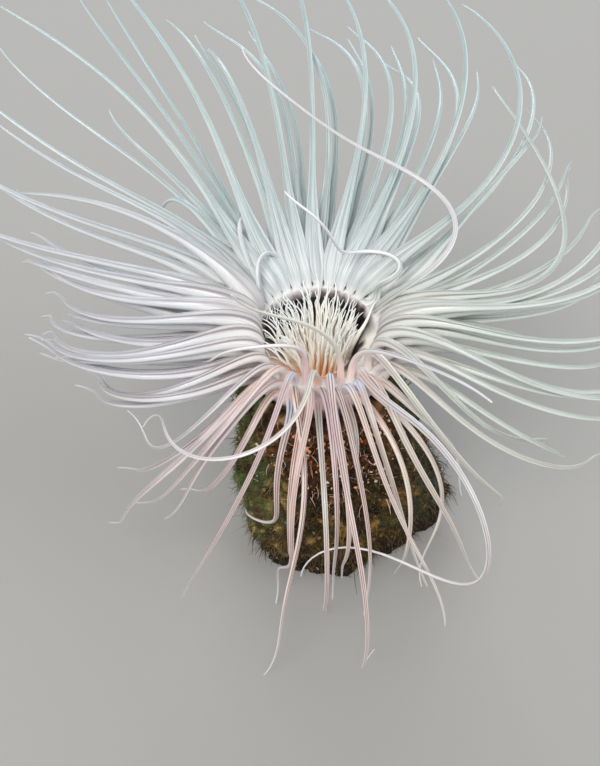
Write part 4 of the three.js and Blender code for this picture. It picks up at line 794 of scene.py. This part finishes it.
def skin_material():
    m = Mat("anemone_skin")
    xyz = m.coords()
    cg, sg, along = m.attr("cg"), m.attr("sg"), m.attr("along")
    tent, lines, tip = m.attr("tentacle"), m.attr("lines"), m.attr("tip")
    flow = m.combine(m.math("MULTIPLY", cg, 3.2), m.math("MULTIPLY", sg, 3.2), m.math("MULTIPLY", along, 0.3))
    streaks = m.noise(flow, 1.6, 4.0, 0.6)
    mottle = m.noise(xyz, 260.0, 3.0, 0.55)
    colour = m.attr("tint", True)
    colour = m.mix(m.ramp(mottle, 0.35, 0.75, 0.0, 0.16), colour, m.mix(0.5, colour, (0.52, 0.42, 0.38)))
    # fine pale streaks run along a tentacle
    colour = m.mix(m.math("MULTIPLY", m.ramp(streaks, 0.48, 0.66, 0.0, 0.5), tent), colour, (0.82, 0.84, 0.84))
    colour = m.mix(m.math("MULTIPLY", m.ramp(streaks, 0.5, 0.34, 0.0, 0.35), tent), colour, m.mix(1.0, colour, (0.60, 0.60, 0.62), "MULTIPLY"))
    # painted light: the flanks of a tentacle are painted whiter as an edge sheen, and its middle painted greyer and
    # more glassy, standing in for the dark seen through the tissue
    flank_sheen = m.math("MULTIPLY", m.ramp(m.math("ABSOLUTE", cg), 0.80, 0.40), tent)
    colour = m.mix(m.math("MULTIPLY", flank_sheen, 0.52), colour, (0.79, 0.805, 0.805))
    middle_shade = m.math("MULTIPLY", m.math("MULTIPLY", m.ramp(cg, 0.55, 0.95), m.attr("glass_shade")), 0.42)
    colour = m.mix(middle_shade, colour, m.mix(1.0, colour, (0.52, 0.50, 0.52), "MULTIPLY"))
    # close by the margin at the back the streaks are finer and stronger
    finer = m.noise(m.combine(m.math("MULTIPLY", cg, 9.0), m.math("MULTIPLY", sg, 9.0), m.math("MULTIPLY", along, 0.14)), 1.6, 2.0, 0.5)
    amount = m.attr("fine")
    colour = m.mix(m.math("MULTIPLY", m.ramp(finer, 0.5, 0.36, 0.0, 0.8), amount), colour, m.mix(1.0, colour, (0.55, 0.60, 0.60), "MULTIPLY"))
    colour = m.mix(m.math("MULTIPLY", m.ramp(finer, 0.52, 0.66, 0.0, 0.7), amount), colour, (0.76, 0.79, 0.79))
    # two fine brown lines run along the side of the tentacle that faces the mouth
    d = m.math("ABSOLUTE", m.math("SUBTRACT", m.math("ABSOLUTE", sg), 0.38))
    line = m.math("MULTIPLY", m.ramp(d, 0.08, 0.19, 1.0, 0.0), m.ramp(cg, 0.05, 0.35))
    line = m.math("MULTIPLY", m.math("MULTIPLY", line, lines), m.ramp(streaks, 0.25, 0.5, 0.6, 1.0))
    colour = m.mix(m.math("MULTIPLY", line, 0.95), colour, (0.08, 0.05, 0.045))
    m.link(colour, m.bsdf.inputs["Base Color"])
    # the disc and the veil of roots at the back are duller than the free parts of the tentacles
    dull = m.math("MULTIPLY", amount, 0.85)
    m.link(m.math("ADD", m.ramp(streaks, 0.2, 0.8, 0.24, 0.42), m.math("MULTIPLY", dull, 0.25)), m.bsdf.inputs["Roughness"])
    m.link(m.math("MULTIPLY", m.math("MULTIPLY", tent, m.math("SUBTRACT", 1.0, dull)), 0.45), m.bsdf.inputs["Coat Weight"])
    m.link(m.math("MULTIPLY", tent, 0.1), m.bsdf.inputs["Sheen Weight"])
    m.link(m.ramp(tent, 0.0, 0.5, 0.12, 0.5), m.bsdf.inputs["Specular IOR Level"])
    m.bsdf.inputs["Subsurface Weight"].default_value = 0.55
    m.bsdf.inputs["Subsurface Radius"].default_value = (1.0, 0.9, 0.85)
    m.bsdf.inputs["Subsurface Scale"].default_value = 0.001
    m.bsdf.inputs["Coat Roughness"].default_value = 0.15
    m.bsdf.inputs["Sheen Roughness"].default_value = 0.35
    fine = m.noise(xyz, 900.0, 3.0, 0.6)
    n1 = m.bump(streaks, 0.35, 0.0003)
    m.link(m.bump(fine, 0.25, 0.00015, n1), m.bsdf.inputs["Normal"])
    return m.m


skin_ob.data.materials.append(skin_material())

# ---------------------------------------------------------------- the felted tube
TUBE_OUTLINE = [(0, 40), (0.12, 42.5), (0.3, 42), (0.46, 40.5), (0.62, 38.5), (0.78, 36.5), (0.9, 34.5), (0.97, 32.5), (1, 30)]
TUBE_BULGE = (16, 0.2)
TOP = crown(np.array([0, 0, -TUBE_TOP]))


def tube_radius(t, a):
    r = np.interp(t, [x for x, _ in TUBE_OUTLINE], [y for _, y in TUBE_OUTLINE])
    fade = 0.45 + 0.55 * (1 - t)
    return r * (1 + fade * (0.05 * np.sin(3 * a + 4 * t + 0.6) + 0.035 * np.sin(5 * a - 9 * t + 1.9) + 0.02 * np.sin(8 * a + 7 * t))) + TUBE_BULGE[0] * (1 - t) * np.maximum(0, np.cos(a - TUBE_BULGE[1])) ** 3


def tube_point(t, a, r):
    lean = LEAN * t * t
    x, y = r * np.cos(a), r * np.sin(a)
    cx, cy, cz = FOOT[0] + (TOP[0] - FOOT[0]) * t, FOOT[1] + (TOP[1] - FOOT[1]) * t, TOP[2] * t
    return np.stack([cx + x, cy + y * np.cos(lean), cz + y * np.sin(lean)], -1)


COAT = 1.6  # depth of the shag and grains that stand on the felt


def felt_surface(t, a):
    """Lumpy outside of the felt, mm."""
    r = tube_radius(t, a)
    p = tube_point(t, a, r)
    lump = 4.4 * fbm(p / 13.0, 3, 11) + 2.5 * fbm(p / 4.8, 3, 23)
    fold = 1.3 * noise(np.stack([p[..., 0] / 16, p[..., 1] / 16, p[..., 2] / 3.6], -1), 31)
    grit = 0.6 * fbm(p / 1.4, 2, 41)
    pit = -2.4 * smooth(0.30, 0.75, noise(p / 6.5, 47))
    edge = smooth(0.99, 0.93, t)
    # a ragged skirt of felt overhangs the foot
    skirt = 15.0 + 4.0 * noise(np.stack([np.cos(a) * 3.0, np.sin(a) * 3.0, 0 * a], -1), 53) + 1.6 * noise(np.stack([np.cos(a) * 14.0, np.sin(a) * 14.0, 0 * a], -1), 54)
    recess = -3.6 * smooth(skirt + 1.5, skirt - 1.5, p[..., 2])
    out = r - COAT + (lump + fold + pit) * (0.35 + 0.65 * edge) + grit + recess
    q = tube_point(t, a, out)
    q[..., 2] = np.maximum(q[..., 2], 0.0)
    return q


NA, NT = 300, 120
a_grid = 2 * math.pi * np.arange(NA) / NA
t_grid = np.concatenate([[0.0, 0.004], np.linspace(0.012, 0.972, NT - 2)])
ta, aa = np.meshgrid(t_grid, a_grid, indexing="ij")
felt = felt_surface(ta, aa)
felt[0, :, 2] = 0.0
lip = []
for (rr, zz) in ((29.8, -TUBE_TOP + 0.6), (27.4, -TUBE_TOP + 0.5), (25.8, -TUBE_TOP - 0.6), (25.2, -TUBE_TOP - 3), (25.0, -36.0), (24.9, -COLUMN_FOOT - 0.3)):
    ruff = 1 + (0.035 * np.sin(9 * a_grid + 1.0) + 0.02 * np.sin(17 * a_grid)) * (1 if rr > 27 else 0)
    lip.append(crown(np.stack([rr * ruff * np.cos(a_grid), rr * ruff * np.sin(a_grid), np.full(NA, zz) + (1.1 * noise(np.stack([np.cos(a_grid) * 5, np.sin(a_grid) * 5, 0 * a_grid], -1), 5) if rr > 27 else 0)], -1)))
rows = np.concatenate([felt, np.stack(lip)], 0)
tco = rows.reshape(-1, 3)
nrow = rows.shape[0]
bottom, inside = len(tco), len(tco) + 1
tco = np.concatenate([tco, [[0.0, 0.0, 0.0]], crown(np.array([[0, 0, -COLUMN_FOOT - 0.3]]))])
ii, jj = np.meshgrid(np.arange(nrow - 1), np.arange(NA), indexing="ij")
j2 = (jj + 1) % NA
tf = np.stack([ii * NA + jj, ii * NA + j2, (ii + 1) * NA + j2, (ii + 1) * NA + jj], -1).reshape(-1, 4)
vrow = np.concatenate([0.13 + 0.75 * t_grid, 0.90 + 0.015 * np.arange(len(lip))])
u1, u2 = jj / NA, (jj + 1) / NA
tuv = np.stack([np.stack([u1, vrow[ii]], -1), np.stack([u2, vrow[ii]], -1), np.stack([u2, vrow[ii + 1]], -1), np.stack([u1, vrow[ii + 1]], -1)], 2).reshape(-1, 4, 2)
j = np.arange(NA)
jn = (j + 1) % NA
cap1 = np.stack([np.full(NA, bottom), jn, j, np.full(NA, -1)], -1)
o = (nrow - 1) * NA
cap2 = np.stack([np.full(NA, inside), o + j, o + jn, np.full(NA, -1)], -1)
pol = lambda ang, cx: np.stack([cx + 0.055 * np.cos(ang), 0.06 + 0.055 * np.sin(ang)], -1)
an, an2 = 2 * math.pi * j / NA, 2 * math.pi * (j + 1) / NA
c1 = np.stack([np.broadcast_to([0.06, 0.06], (NA, 2)), pol(an2, 0.06), pol(an, 0.06), np.zeros((NA, 2))], 1)
c2 = np.stack([np.broadcast_to([0.2, 0.06], (NA, 2)), pol(an, 0.2), pol(an2, 0.2), np.zeros((NA, 2))], 1)
felt_ob = make_mesh("tube_felt", tco, np.concatenate([tf, cap1, cap2]), np.concatenate([tuv, c1, c2]))
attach(felt_ob, "root")
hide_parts("tube_lower", "tube_upper")


def felt_colour(p):
    """Colour of the tube at points (mm): dark brown with ochre and golden mottling, orange-brown near
    the top in front with painted shadows among its bright bits, green on the left, grey-green on the right; nearly
    black at the foot and darker at mid height in front, both painted shade."""
    p = np.asarray(p, float)
    n1, n2, n3 = fbm(p / 15.0, 3, 61), fbm(p / 4.6, 3, 67), fbm(p / 1.7, 2, 71)
    c = mix(srgb(78, 56, 32), srgb(44, 32, 21), smooth(-0.3, 0.3, n1 + 0.4 * n2))
    c = mix(c, srgb(150, 112, 62), smooth(0.08, 0.42, n2 + 0.35 * n3))
    c = mix(c, srgb(200, 164, 104), smooth(0.24, 0.55, n2 + 0.6 * n3) * 0.85)
    c = mix(c, srgb(86, 88, 46), smooth(0.05, 0.4, fbm(p / 6.0, 2, 73)) * 0.6)
    ang = np.degrees(np.arctan2(p[..., 1], p[..., 0])) % 360
    top = smooth(54, 78, p[..., 2]) * bump_at(ang, 275, 95)
    c = mix(c, srgb(104, 54, 32), top * 0.75)
    c = mix(c, srgb(228, 136, 84), smooth(0.0, 0.34, n3 + 0.5 * n1) * top * 0.9)
    c = mix(c, srgb(236, 180, 152), smooth(0.26, 0.5, n2 - 0.4 * n3) * top * 0.8)
    # painted shade: dark blotches among the bright bits at the top in front stand for the shadows between the hanging
    # tentacles
    c = mix(c, srgb(34, 20, 16), smooth(0.02, 0.34, -n3 - 0.5 * n2) * top * 0.9)
    g = bump_at(ang, 190, 62) * smooth(-0.25, 0.3, n2 + n1 + 0.1)
    c = mix(c, srgb(74, 100, 60), g * 0.85)
    r = bump_at(ang, 352, 50) * smooth(-0.35, 0.3, n1 - n2)
    c = mix(c, srgb(64, 92, 84), r * 0.75)
    c = mix(c, srgb(24, 18, 14), smooth(0.15, 0.5, -n2) * 0.75)
    # painted shade: nearly black towards the foot, where the tube stands in its own shadow
    foot = smooth(19, 10, p[..., 2])
    c = mix(c, srgb(18, 13, 10), foot * 0.9)
    c = mix(c, srgb(176, 146, 100), smooth(3.2, 0.6, np.abs(p[..., 2] - 18.5)) * bump_at(ang, 265, 75) * smooth(-0.3, 0.3, n3) * 0.7)
    c = c * mix(np.broadcast_to([0.54, 0.51, 0.39], c.shape), np.array([1.6, 1.9, 2.1]), bump_at(ang, 192, 70))
    # painted shade: darker in a band at mid height in front, under the overhanging crown and its hanging tentacles
    band = smooth(46, 60, p[..., 2]) * smooth(92, 80, p[..., 2]) * bump_at(ang, 275, 80)
    c = c * (1 - 0.42 * band)[..., None]
    return np.clip(c, 0, 1)


set_colour(felt_ob.data, "tint", felt_colour(tco))


def felt_material():
    m = Mat("tube_felt")
    xyz = m.coords()
    big, fine = m.noise(xyz, 420.0, 4.0, 0.65), m.noise(xyz, 1900.0, 3.0, 0.6)
    dist, cells = m.voronoi(xyz, 900.0)
    colour = m.attr("tint", True)
    colour = m.mix(m.ramp(big, 0.35, 0.65, 0.0, 0.6), colour, m.mix(1.0, colour, (0.42, 0.38, 0.32), "MULTIPLY"))
    colour = m.mix(m.ramp(fine, 0.55, 0.75, 0.0, 0.45), colour, (0.42, 0.34, 0.22))
    colour = m.mix(m.math("MULTIPLY", m.ramp(dist, 0.22, 0.1), 0.25), colour, m.mix(0.5, cells, (0.5, 0.42, 0.3)))
    m.link(colour, m.bsdf.inputs["Base Color"])
    m.link(m.ramp(big, 0.3, 0.7, 0.72, 0.95), m.bsdf.inputs["Roughness"])
    m.bsdf.inputs["Specular IOR Level"].default_value = 0.15
    m.link(m.bump(fine, 0.5, 0.0004, m.bump(big, 0.6, 0.0012)), m.bsdf.inputs["Normal"])
    return m.m


felt_ob.data.materials.append(felt_material())


# ---------------------------------------------------------------- what stands on the felt
def place(n, t_lo, t_hi, seed_, by_area=True):
    """Random places on the felt: point, normal, up along the tube, map place."""
    g = np.random.default_rng(seed_)
    t = t_lo + (t_hi - t_lo) * g.random(n)
    a = 2 * math.pi * g.random(n)
    e = 0.004
    p = felt_surface(t, a)
    up = norm(felt_surface(np.minimum(t + e, 0.999), a) - p)
    side = norm(felt_surface(t, a + 0.02) - p)
    nrm_ = norm(np.cross(side, up))
    centre = tube_point(t, a, 0 * a)
    smooth_n = norm(np.stack([p[:, 0] - centre[:, 0], p[:, 1] - centre[:, 1], 0 * a], -1))
    nrm_ = norm(nrm_ * 0.5 + smooth_n)
    uvp = np.stack([a / (2 * math.pi), 0.13 + 0.75 * t], -1)
    return g, t, a, p, nrm_, up, uvp


def joined(name, co_list, face_list, roots_uv, tints, seed_, shade=False):
    """One mesh from many small pieces (n, v, 3) sharing one face list; each has a patch on the map."""
    n, v = co_list.shape[:2]
    f = np.asarray(face_list)
    if f.shape[1] == 3:
        f = np.concatenate([f, np.full((len(f), 1), -1)], 1)
    offs = (np.arange(n) * v)[:, None, None]
    allf = np.where(f[None] < 0, -1, f[None] + offs).reshape(-1, 4)
    g = np.random.default_rng(seed_)
    local = g.random((v, 2)) * 0.003 - 0.0015
    uv_v = np.clip(roots_uv[:, None] + local[None], 0.001, 0.999)
    uvf = uv_v[:, np.where(f < 0, 0, f)].reshape(-1, 4, 2)
    pts = co_list.reshape(-1, 3)
    pts[:, 2] = np.maximum(pts[:, 2], 0.02)
    ob = make_mesh(name, pts, allf, uvf, shade)
    set_colour(ob.data, "tint", np.clip(np.repeat(tints, v, 0) if tints.ndim == 2 else tints.reshape(-1, 3), 0, 1))
    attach(ob, "root")
    return ob


def tinted_material(name, rough, vary, sub=0.0, spec=0.2):
    m = Mat(name)
    xyz = m.coords()
    nz = m.noise(xyz, 1500.0, 3.0, 0.6)
    colour = m.attr("tint", True)
    colour = m.mix(m.ramp(nz, 0.3, 0.7, 0.0, vary), colour, m.mix(1.0, colour, (0.4, 0.36, 0.3), "MULTIPLY"))
    m.link(colour, m.bsdf.inputs["Base Color"])
    m.link(m.ramp(nz, 0.3, 0.7, rough - 0.12, rough + 0.12), m.bsdf.inputs["Roughness"])
    m.bsdf.inputs["Specular IOR Level"].default_value = spec
    if sub:
        m.bsdf.inputs["Subsurface Weight"].default_value = sub
        m.bsdf.inputs["Subsurface Scale"].default_value = 0.0006
    m.link(m.bump(nz, 0.4, 0.0002), m.bsdf.inputs["Normal"])
    return m.m


# sand and shell grains
gphi = (1 + 5 ** 0.5) / 2
ICO = norm(np.array([(-1, gphi, 0), (1, gphi, 0), (-1, -gphi, 0), (1, -gphi, 0), (0, -1, gphi), (0, 1, gphi), (0, -1, -gphi), (0, 1, -gphi), (gphi, 0, -1), (gphi, 0, 1), (-gphi, 0, -1), (-gphi, 0, 1)]))
ICO_F = [(0, 11, 5), (0, 5, 1), (0, 1, 7), (0, 7, 10), (0, 10, 11), (1, 5, 9), (5, 11, 4), (11, 10, 2), (10, 7, 6), (7, 1, 8), (3, 9, 4), (3, 4, 2), (3, 2, 6), (3, 6, 8), (3, 8, 9), (4, 9, 5), (2, 4, 11), (6, 2, 10), (8, 6, 7), (9, 8, 1)]
N = 5200
g, t, a, p, nn, up, uvp = place(N, 0.0, 0.97, 101)
keep = noise(p / 8.0, 81) + 0.6 * g.random(N) > -0.05
p, nn, uvp, t = p[keep], nn[keep], uvp[keep], t[keep]
N = len(p)
size = np.exp(g.normal(-1.05, 0.36, N)).clip(0.16, 0.85)
shape = 1 + 0.28 * g.normal(size=(N, 12, 1)).clip(-1.2, 1.2)
stretch = np.exp(0.25 * g.normal(size=(N, 1, 3)))
q = g.normal(size=(N, 3, 3))
rot = np.linalg.qr(q)[0]
pts = np.einsum("nij,nvj->nvi", rot, ICO[None] * shape * stretch) * size[:, None, None]
flip = np.linalg.det(rot) < 0
pts[flip] = -pts[flip][:, :, :]
pts = pts + (p + nn * (size * 0.35)[:, None])[:, None]
pick = g.random(N)
sand = np.where((pick < 0.34)[:, None], srgb(196, 172, 132), np.where((pick < 0.56)[:, None], srgb(150, 116, 78), np.where((pick < 0.7)[:, None], srgb(176, 96, 52), np.where((pick < 0.83)[:, None], srgb(60, 48, 38), np.where((pick < 0.93)[:, None], srgb(220, 208, 186), srgb(120, 126, 92))))))
# grains take up the felt's colour, its painted shade included
sand = mix(sand, felt_colour(p), 0.6 + 0.3 * g.random(N))
fixed = np.array([f if np.dot(np.cross(ICO[f[1]] - ICO[f[0]], ICO[f[2]] - ICO[f[0]]), ICO[f[0]]) > 0 else (f[0], f[2], f[1]) for f in ICO_F])
det = np.sign(np.linalg.det(rot))
grains = joined("tube_grains", pts, fixed, uvp, sand, 7)
grains.data.materials.append(tinted_material("tube_grains", 0.55, 0.35))

# pale and orange chips of shell caught near the top, mostly in front
N = 1100
g, t, a, p, nn, up, uvp = place(N, 0.62, 0.96, 131)
keep = (bump_at(np.degrees(a), 280, 95) * 1.2 > 0.25 + g.random(N)) & (noise(p / 5.5, 83) + 0.5 * g.random(N) > 0.12)
p, nn, uvp, t = p[keep], nn[keep], uvp[keep], t[keep]
N = len(p)
size = np.exp(g.normal(-0.45, 0.32, N)).clip(0.35, 1.15)
rot = np.linalg.qr(g.normal(size=(N, 3, 3)))[0]
rot = rot * np.sign(np.linalg.det(rot))[:, None, None]
shape = 1 + 0.25 * g.normal(size=(N, 12, 1)).clip(-1.2, 1.2)
pts = np.einsum("nij,nvj->nvi", rot, ICO[None] * shape * np.array([1.0, 0.8, 0.55])) * size[:, None, None] + (p + nn * (1.3 + 0.2 * size)[:, None])[:, None]
pick = g.random(N)
chip = np.where((pick < 0.45)[:, None], srgb(250, 226, 208), np.where((pick < 0.75)[:, None], srgb(244, 170, 118), np.where((pick < 0.9)[:, None], srgb(222, 120, 84), srgb(238, 206, 158))))
chips = joined("tube_chips", pts, fixed, uvp, chip, 9)
chips.data.materials.append(tinted_material("tube_chips", 0.45, 0.25, 0.2, 0.5))


def blades(name, n, seed_, t_lo, t_hi, length, radius, spread, droop, tint_fn, keep_fn, segs=3, comb=0.0, hang=0.25):
    """Thin tapering three-sided fibres that lie along the felt in locks and curl away from it."""
    g, t, a, p, nn, up, uvp = place(n, t_lo, t_hi, seed_)
    k = keep_fn(p, t, a, g)
    p, nn, up, uvp, t, a = p[k], nn[k], up[k], uvp[k], t[k], a[k]
    n = len(p)
    L = length * np.exp(0.38 * g.normal(size=n))
    side = norm(np.cross(nn, up))
    lock = 2.6 * math.pi * noise(p / 5.5, seed_ + 9)
    ang = np.where(g.random(n) < comb, lock + 0.4 * g.normal(size=n), g.random(n) * 2 * math.pi)
    lie = norm(np.cos(ang)[:, None] * side + np.sin(ang)[:, None] * up - hang * up)
    stand = (0.25 + spread * g.random(n))[:, None]
    d = norm(nn * stand + lie)
    curl = norm(g.normal(size=(n, 3))) * (0.5 + 0.5 * g.random(n))[:, None]
    pos, cur = [p - nn * 0.3], d
    for s in range(segs):
        pos.append(pos[-1] + cur * (L / segs)[:, None])
        cur = norm(cur + curl * 0.45 + np.array([0, 0, -droop]))
    pos = np.stack(pos, 1)
    rad = radius * np.exp(0.25 * g.normal(size=n))
    x = norm(np.cross(d, norm(g.normal(size=(n, 3)))))
    pts_ = []
    for s in range(segs + 1):
        tdir = norm(pos[:, min(s + 1, segs)] - pos[:, max(s - 1, 0)])
        x = norm(x - (x * tdir).sum(-1, keepdims=True) * tdir)
        y = np.cross(tdir, x)
        r_s = rad * (1 - 0.8 * s / segs)
        for m_ in range(3):
            w = 2 * math.pi * m_ / 3
            pts_.append(pos[:, s] + (math.cos(w) * x + math.sin(w) * y) * r_s[:, None])
    pts_ = np.stack(pts_, 1)
    f = [(2, 1, 0, -1)]
    for s in range(segs):
        for m_ in range(3):
            b, c = s * 3 + m_, s * 3 + (m_ + 1) % 3
            f.append((b, c, c + 3, b + 3))
    f.append((segs * 3, segs * 3 + 1, segs * 3 + 2, -1))
    return joined(name, pts_, np.array(f), uvp, tint_fn(p, g, n), seed_ + 1)


def shag_tint(p, g, n):
    light = np.where((g.random(n) < 0.5)[:, None], srgb(190, 152, 92), srgb(140, 104, 58))
    dark = np.where((g.random(n) < 0.5)[:, None], srgb(66, 46, 28), srgb(96, 74, 42))
    golden = smooth(-0.05, 0.35, fbm(p / 5.0, 2, 67) + 0.25 * g.normal(size=n))
    ang = np.degrees(np.arctan2(p[:, 1], p[:, 0])) % 360
    # painted shade: the same darker band at mid height in front as on the felt
    band = smooth(46, 60, p[:, 2]) * smooth(92, 80, p[:, 2]) * bump_at(ang, 275, 80)
    # painted shade: darker towards the foot
    return mix(mix(dark, light, golden) * np.array([0.8, 0.74, 0.6]), felt_colour(p), 0.45 + 0.35 * g.random(n)) * ((0.3 + 0.65 * smooth(12.0, 28.0, p[:, 2])) * (1 - 0.38 * band))[:, None]


foot_out = lambda p, g: (p[:, 2] > 13) | (g.random(len(p)) < 0.35)
fuzz = blades("tube_fuzz", 13500, 201, 0.0, 0.97, 2.3, 0.13, 0.9, 0.15, shag_tint, lambda p, t, a, g: foot_out(p, g), 2, 0.5, 0.3)
fuzz.data.materials.append(tinted_material("tube_fuzz", 0.75, 0.3))
shag = blades("tube_shag", 9600, 221, 0.05, 0.97, 4.6, 0.15, 0.8, 0.30, shag_tint,
              lambda p, t, a, g: foot_out(p, g) & (noise(p / 6.0, 93) + 0.5 * g.random(len(p)) > -0.15), 3, 0.8, 0.6)
shag.data.materials.append(tinted_material("tube_shag", 0.7, 0.3))
turf = blades("tube_turf", 7000, 301, 0.12, 0.9, 3.4, 0.2, 1.1, 0.1,
              lambda p, g, n: mix(mix(srgb(64, 96, 56), srgb(112, 128, 70), g.random(n)), srgb(70, 104, 96), bump_at(np.degrees(np.arctan2(p[:, 1], p[:, 0])) % 360, 350, 60)) * (0.7 + 0.5 * g.random(n))[:, None],
              lambda p, t, a, g: (bump_at(np.degrees(a), 190, 66) + 0.6 * bump_at(np.degrees(a), 350, 46) + 0.4 * noise(p / 7.0, 91)) > 0.42 + 0.4 * g.random(len(p)), 3, 0.4)
turf.data.materials.append(tinted_material("tube_turf", 0.6, 0.35, 0.2))
# the fringe near the foot is dimmed a good deal, partly as painted shade
fringe = blades("tube_fringe", 2600, 351, 0.10, 0.26, 6.5, 0.2, 0.35, 0.55,
                lambda p, g, n: mix(srgb(160, 130, 84), srgb(70, 50, 30), g.random(n)) * (0.28 + 0.3 * g.random(n))[:, None],
                lambda p, t, a, g: (np.abs(p[:, 2] - 19.0) < 4.5) & (noise(p / 5.0, 97) + 0.7 * g.random(len(p)) > 0.1), 3, 0.3, 2.2)
fringe.data.materials.append(tinted_material("tube_fringe", 0.65, 0.3))
pale = blades("tube_pale_threads", 1500, 401, 0.5, 0.97, 4.2, 0.24, 1.3, 0.15,
              lambda p, g, n: mix(srgb(232, 206, 190), srgb(214, 150, 118), g.random(n) * 0.8),
              lambda p, t, a, g: (noise(p / 5.0, 95) > 0.18) & (bump_at(np.degrees(a), 285, 75) + 0.15 > g.random(len(p))), 4)
pale.data.materials.append(tinted_material("tube_pale_threads", 0.5, 0.2, 0.3, 0.5))

# ---------------------------------------------------------------- floor, light, camera
floor_me = bpy.data.meshes.new("floor")
floor_me.from_pydata([(-4, -4, 0), (4, -4, 0), (4, 6, 0), (-4, 6, 0)], [], [(0, 1, 2, 3)])
floor = bpy.data.objects.new("floor", floor_me)
bpy.context.scene.collection.objects.link(floor)
fm = Mat("floor")
fm.bsdf.inputs["Base Color"].default_value = (0.32, 0.309, 0.297, 1)
fm.bsdf.inputs["Roughness"].default_value = 0.9
floor_me.materials.append(fm.m)


def lamp(name, towards, strength, angle, colour):
    """A broad soft light from far away, shining along `towards`."""
    d = bpy.data.lights.new(name, "SUN")
    d.energy = strength
    d.angle = math.radians(angle)
    d.color = colour
    o_ = bpy.data.objects.new(name, d)
    v = norm(np.array(towards, float))
    o_.rotation_euler = (math.acos(-v[2]), 0.0, math.atan2(v[1], v[0]) - math.pi / 2)
    bpy.context.scene.collection.objects.link(o_)


lamp("key", (0.28, 0.78, -0.9), 2.5, 30, (1.0, 0.975, 0.94))
lamp("fill", (-0.9, 0.3, -0.62), 1.15, 45, (0.93, 0.97, 1.0))
lamp("back", (0.1, -1.0, -0.63), 1.1, 36, (0.9, 0.97, 1.0))
world = bpy.data.worlds.new("world")
bpy.context.scene.world = world
world.use_nodes = True
world.node_tree.nodes["Background"].inputs[0].default_value = (0.80, 0.84, 0.88, 1)
world.node_tree.nodes["Background"].inputs[1].default_value = 0.62

cam = bpy.data.cameras.new("camera")
cam.sensor_fit = "AUTO"
cam.sensor_width = 36.0
cam.lens = 36.0 * 924.6 / 766.0
cam.clip_start, cam.clip_end = 0.01, 20.0
cam_ob = bpy.data.objects.new("camera", cam)
cam_ob.location = (-0.01432, -0.29803, 0.35648)
cam_ob.rotation_euler = (math.radians(48.0), 0.0, 0.0)
bpy.context.scene.collection.objects.link(cam_ob)
bpy.context.scene.camera = cam_ob
bpy.context.scene.view_settings.view_transform = "Standard"
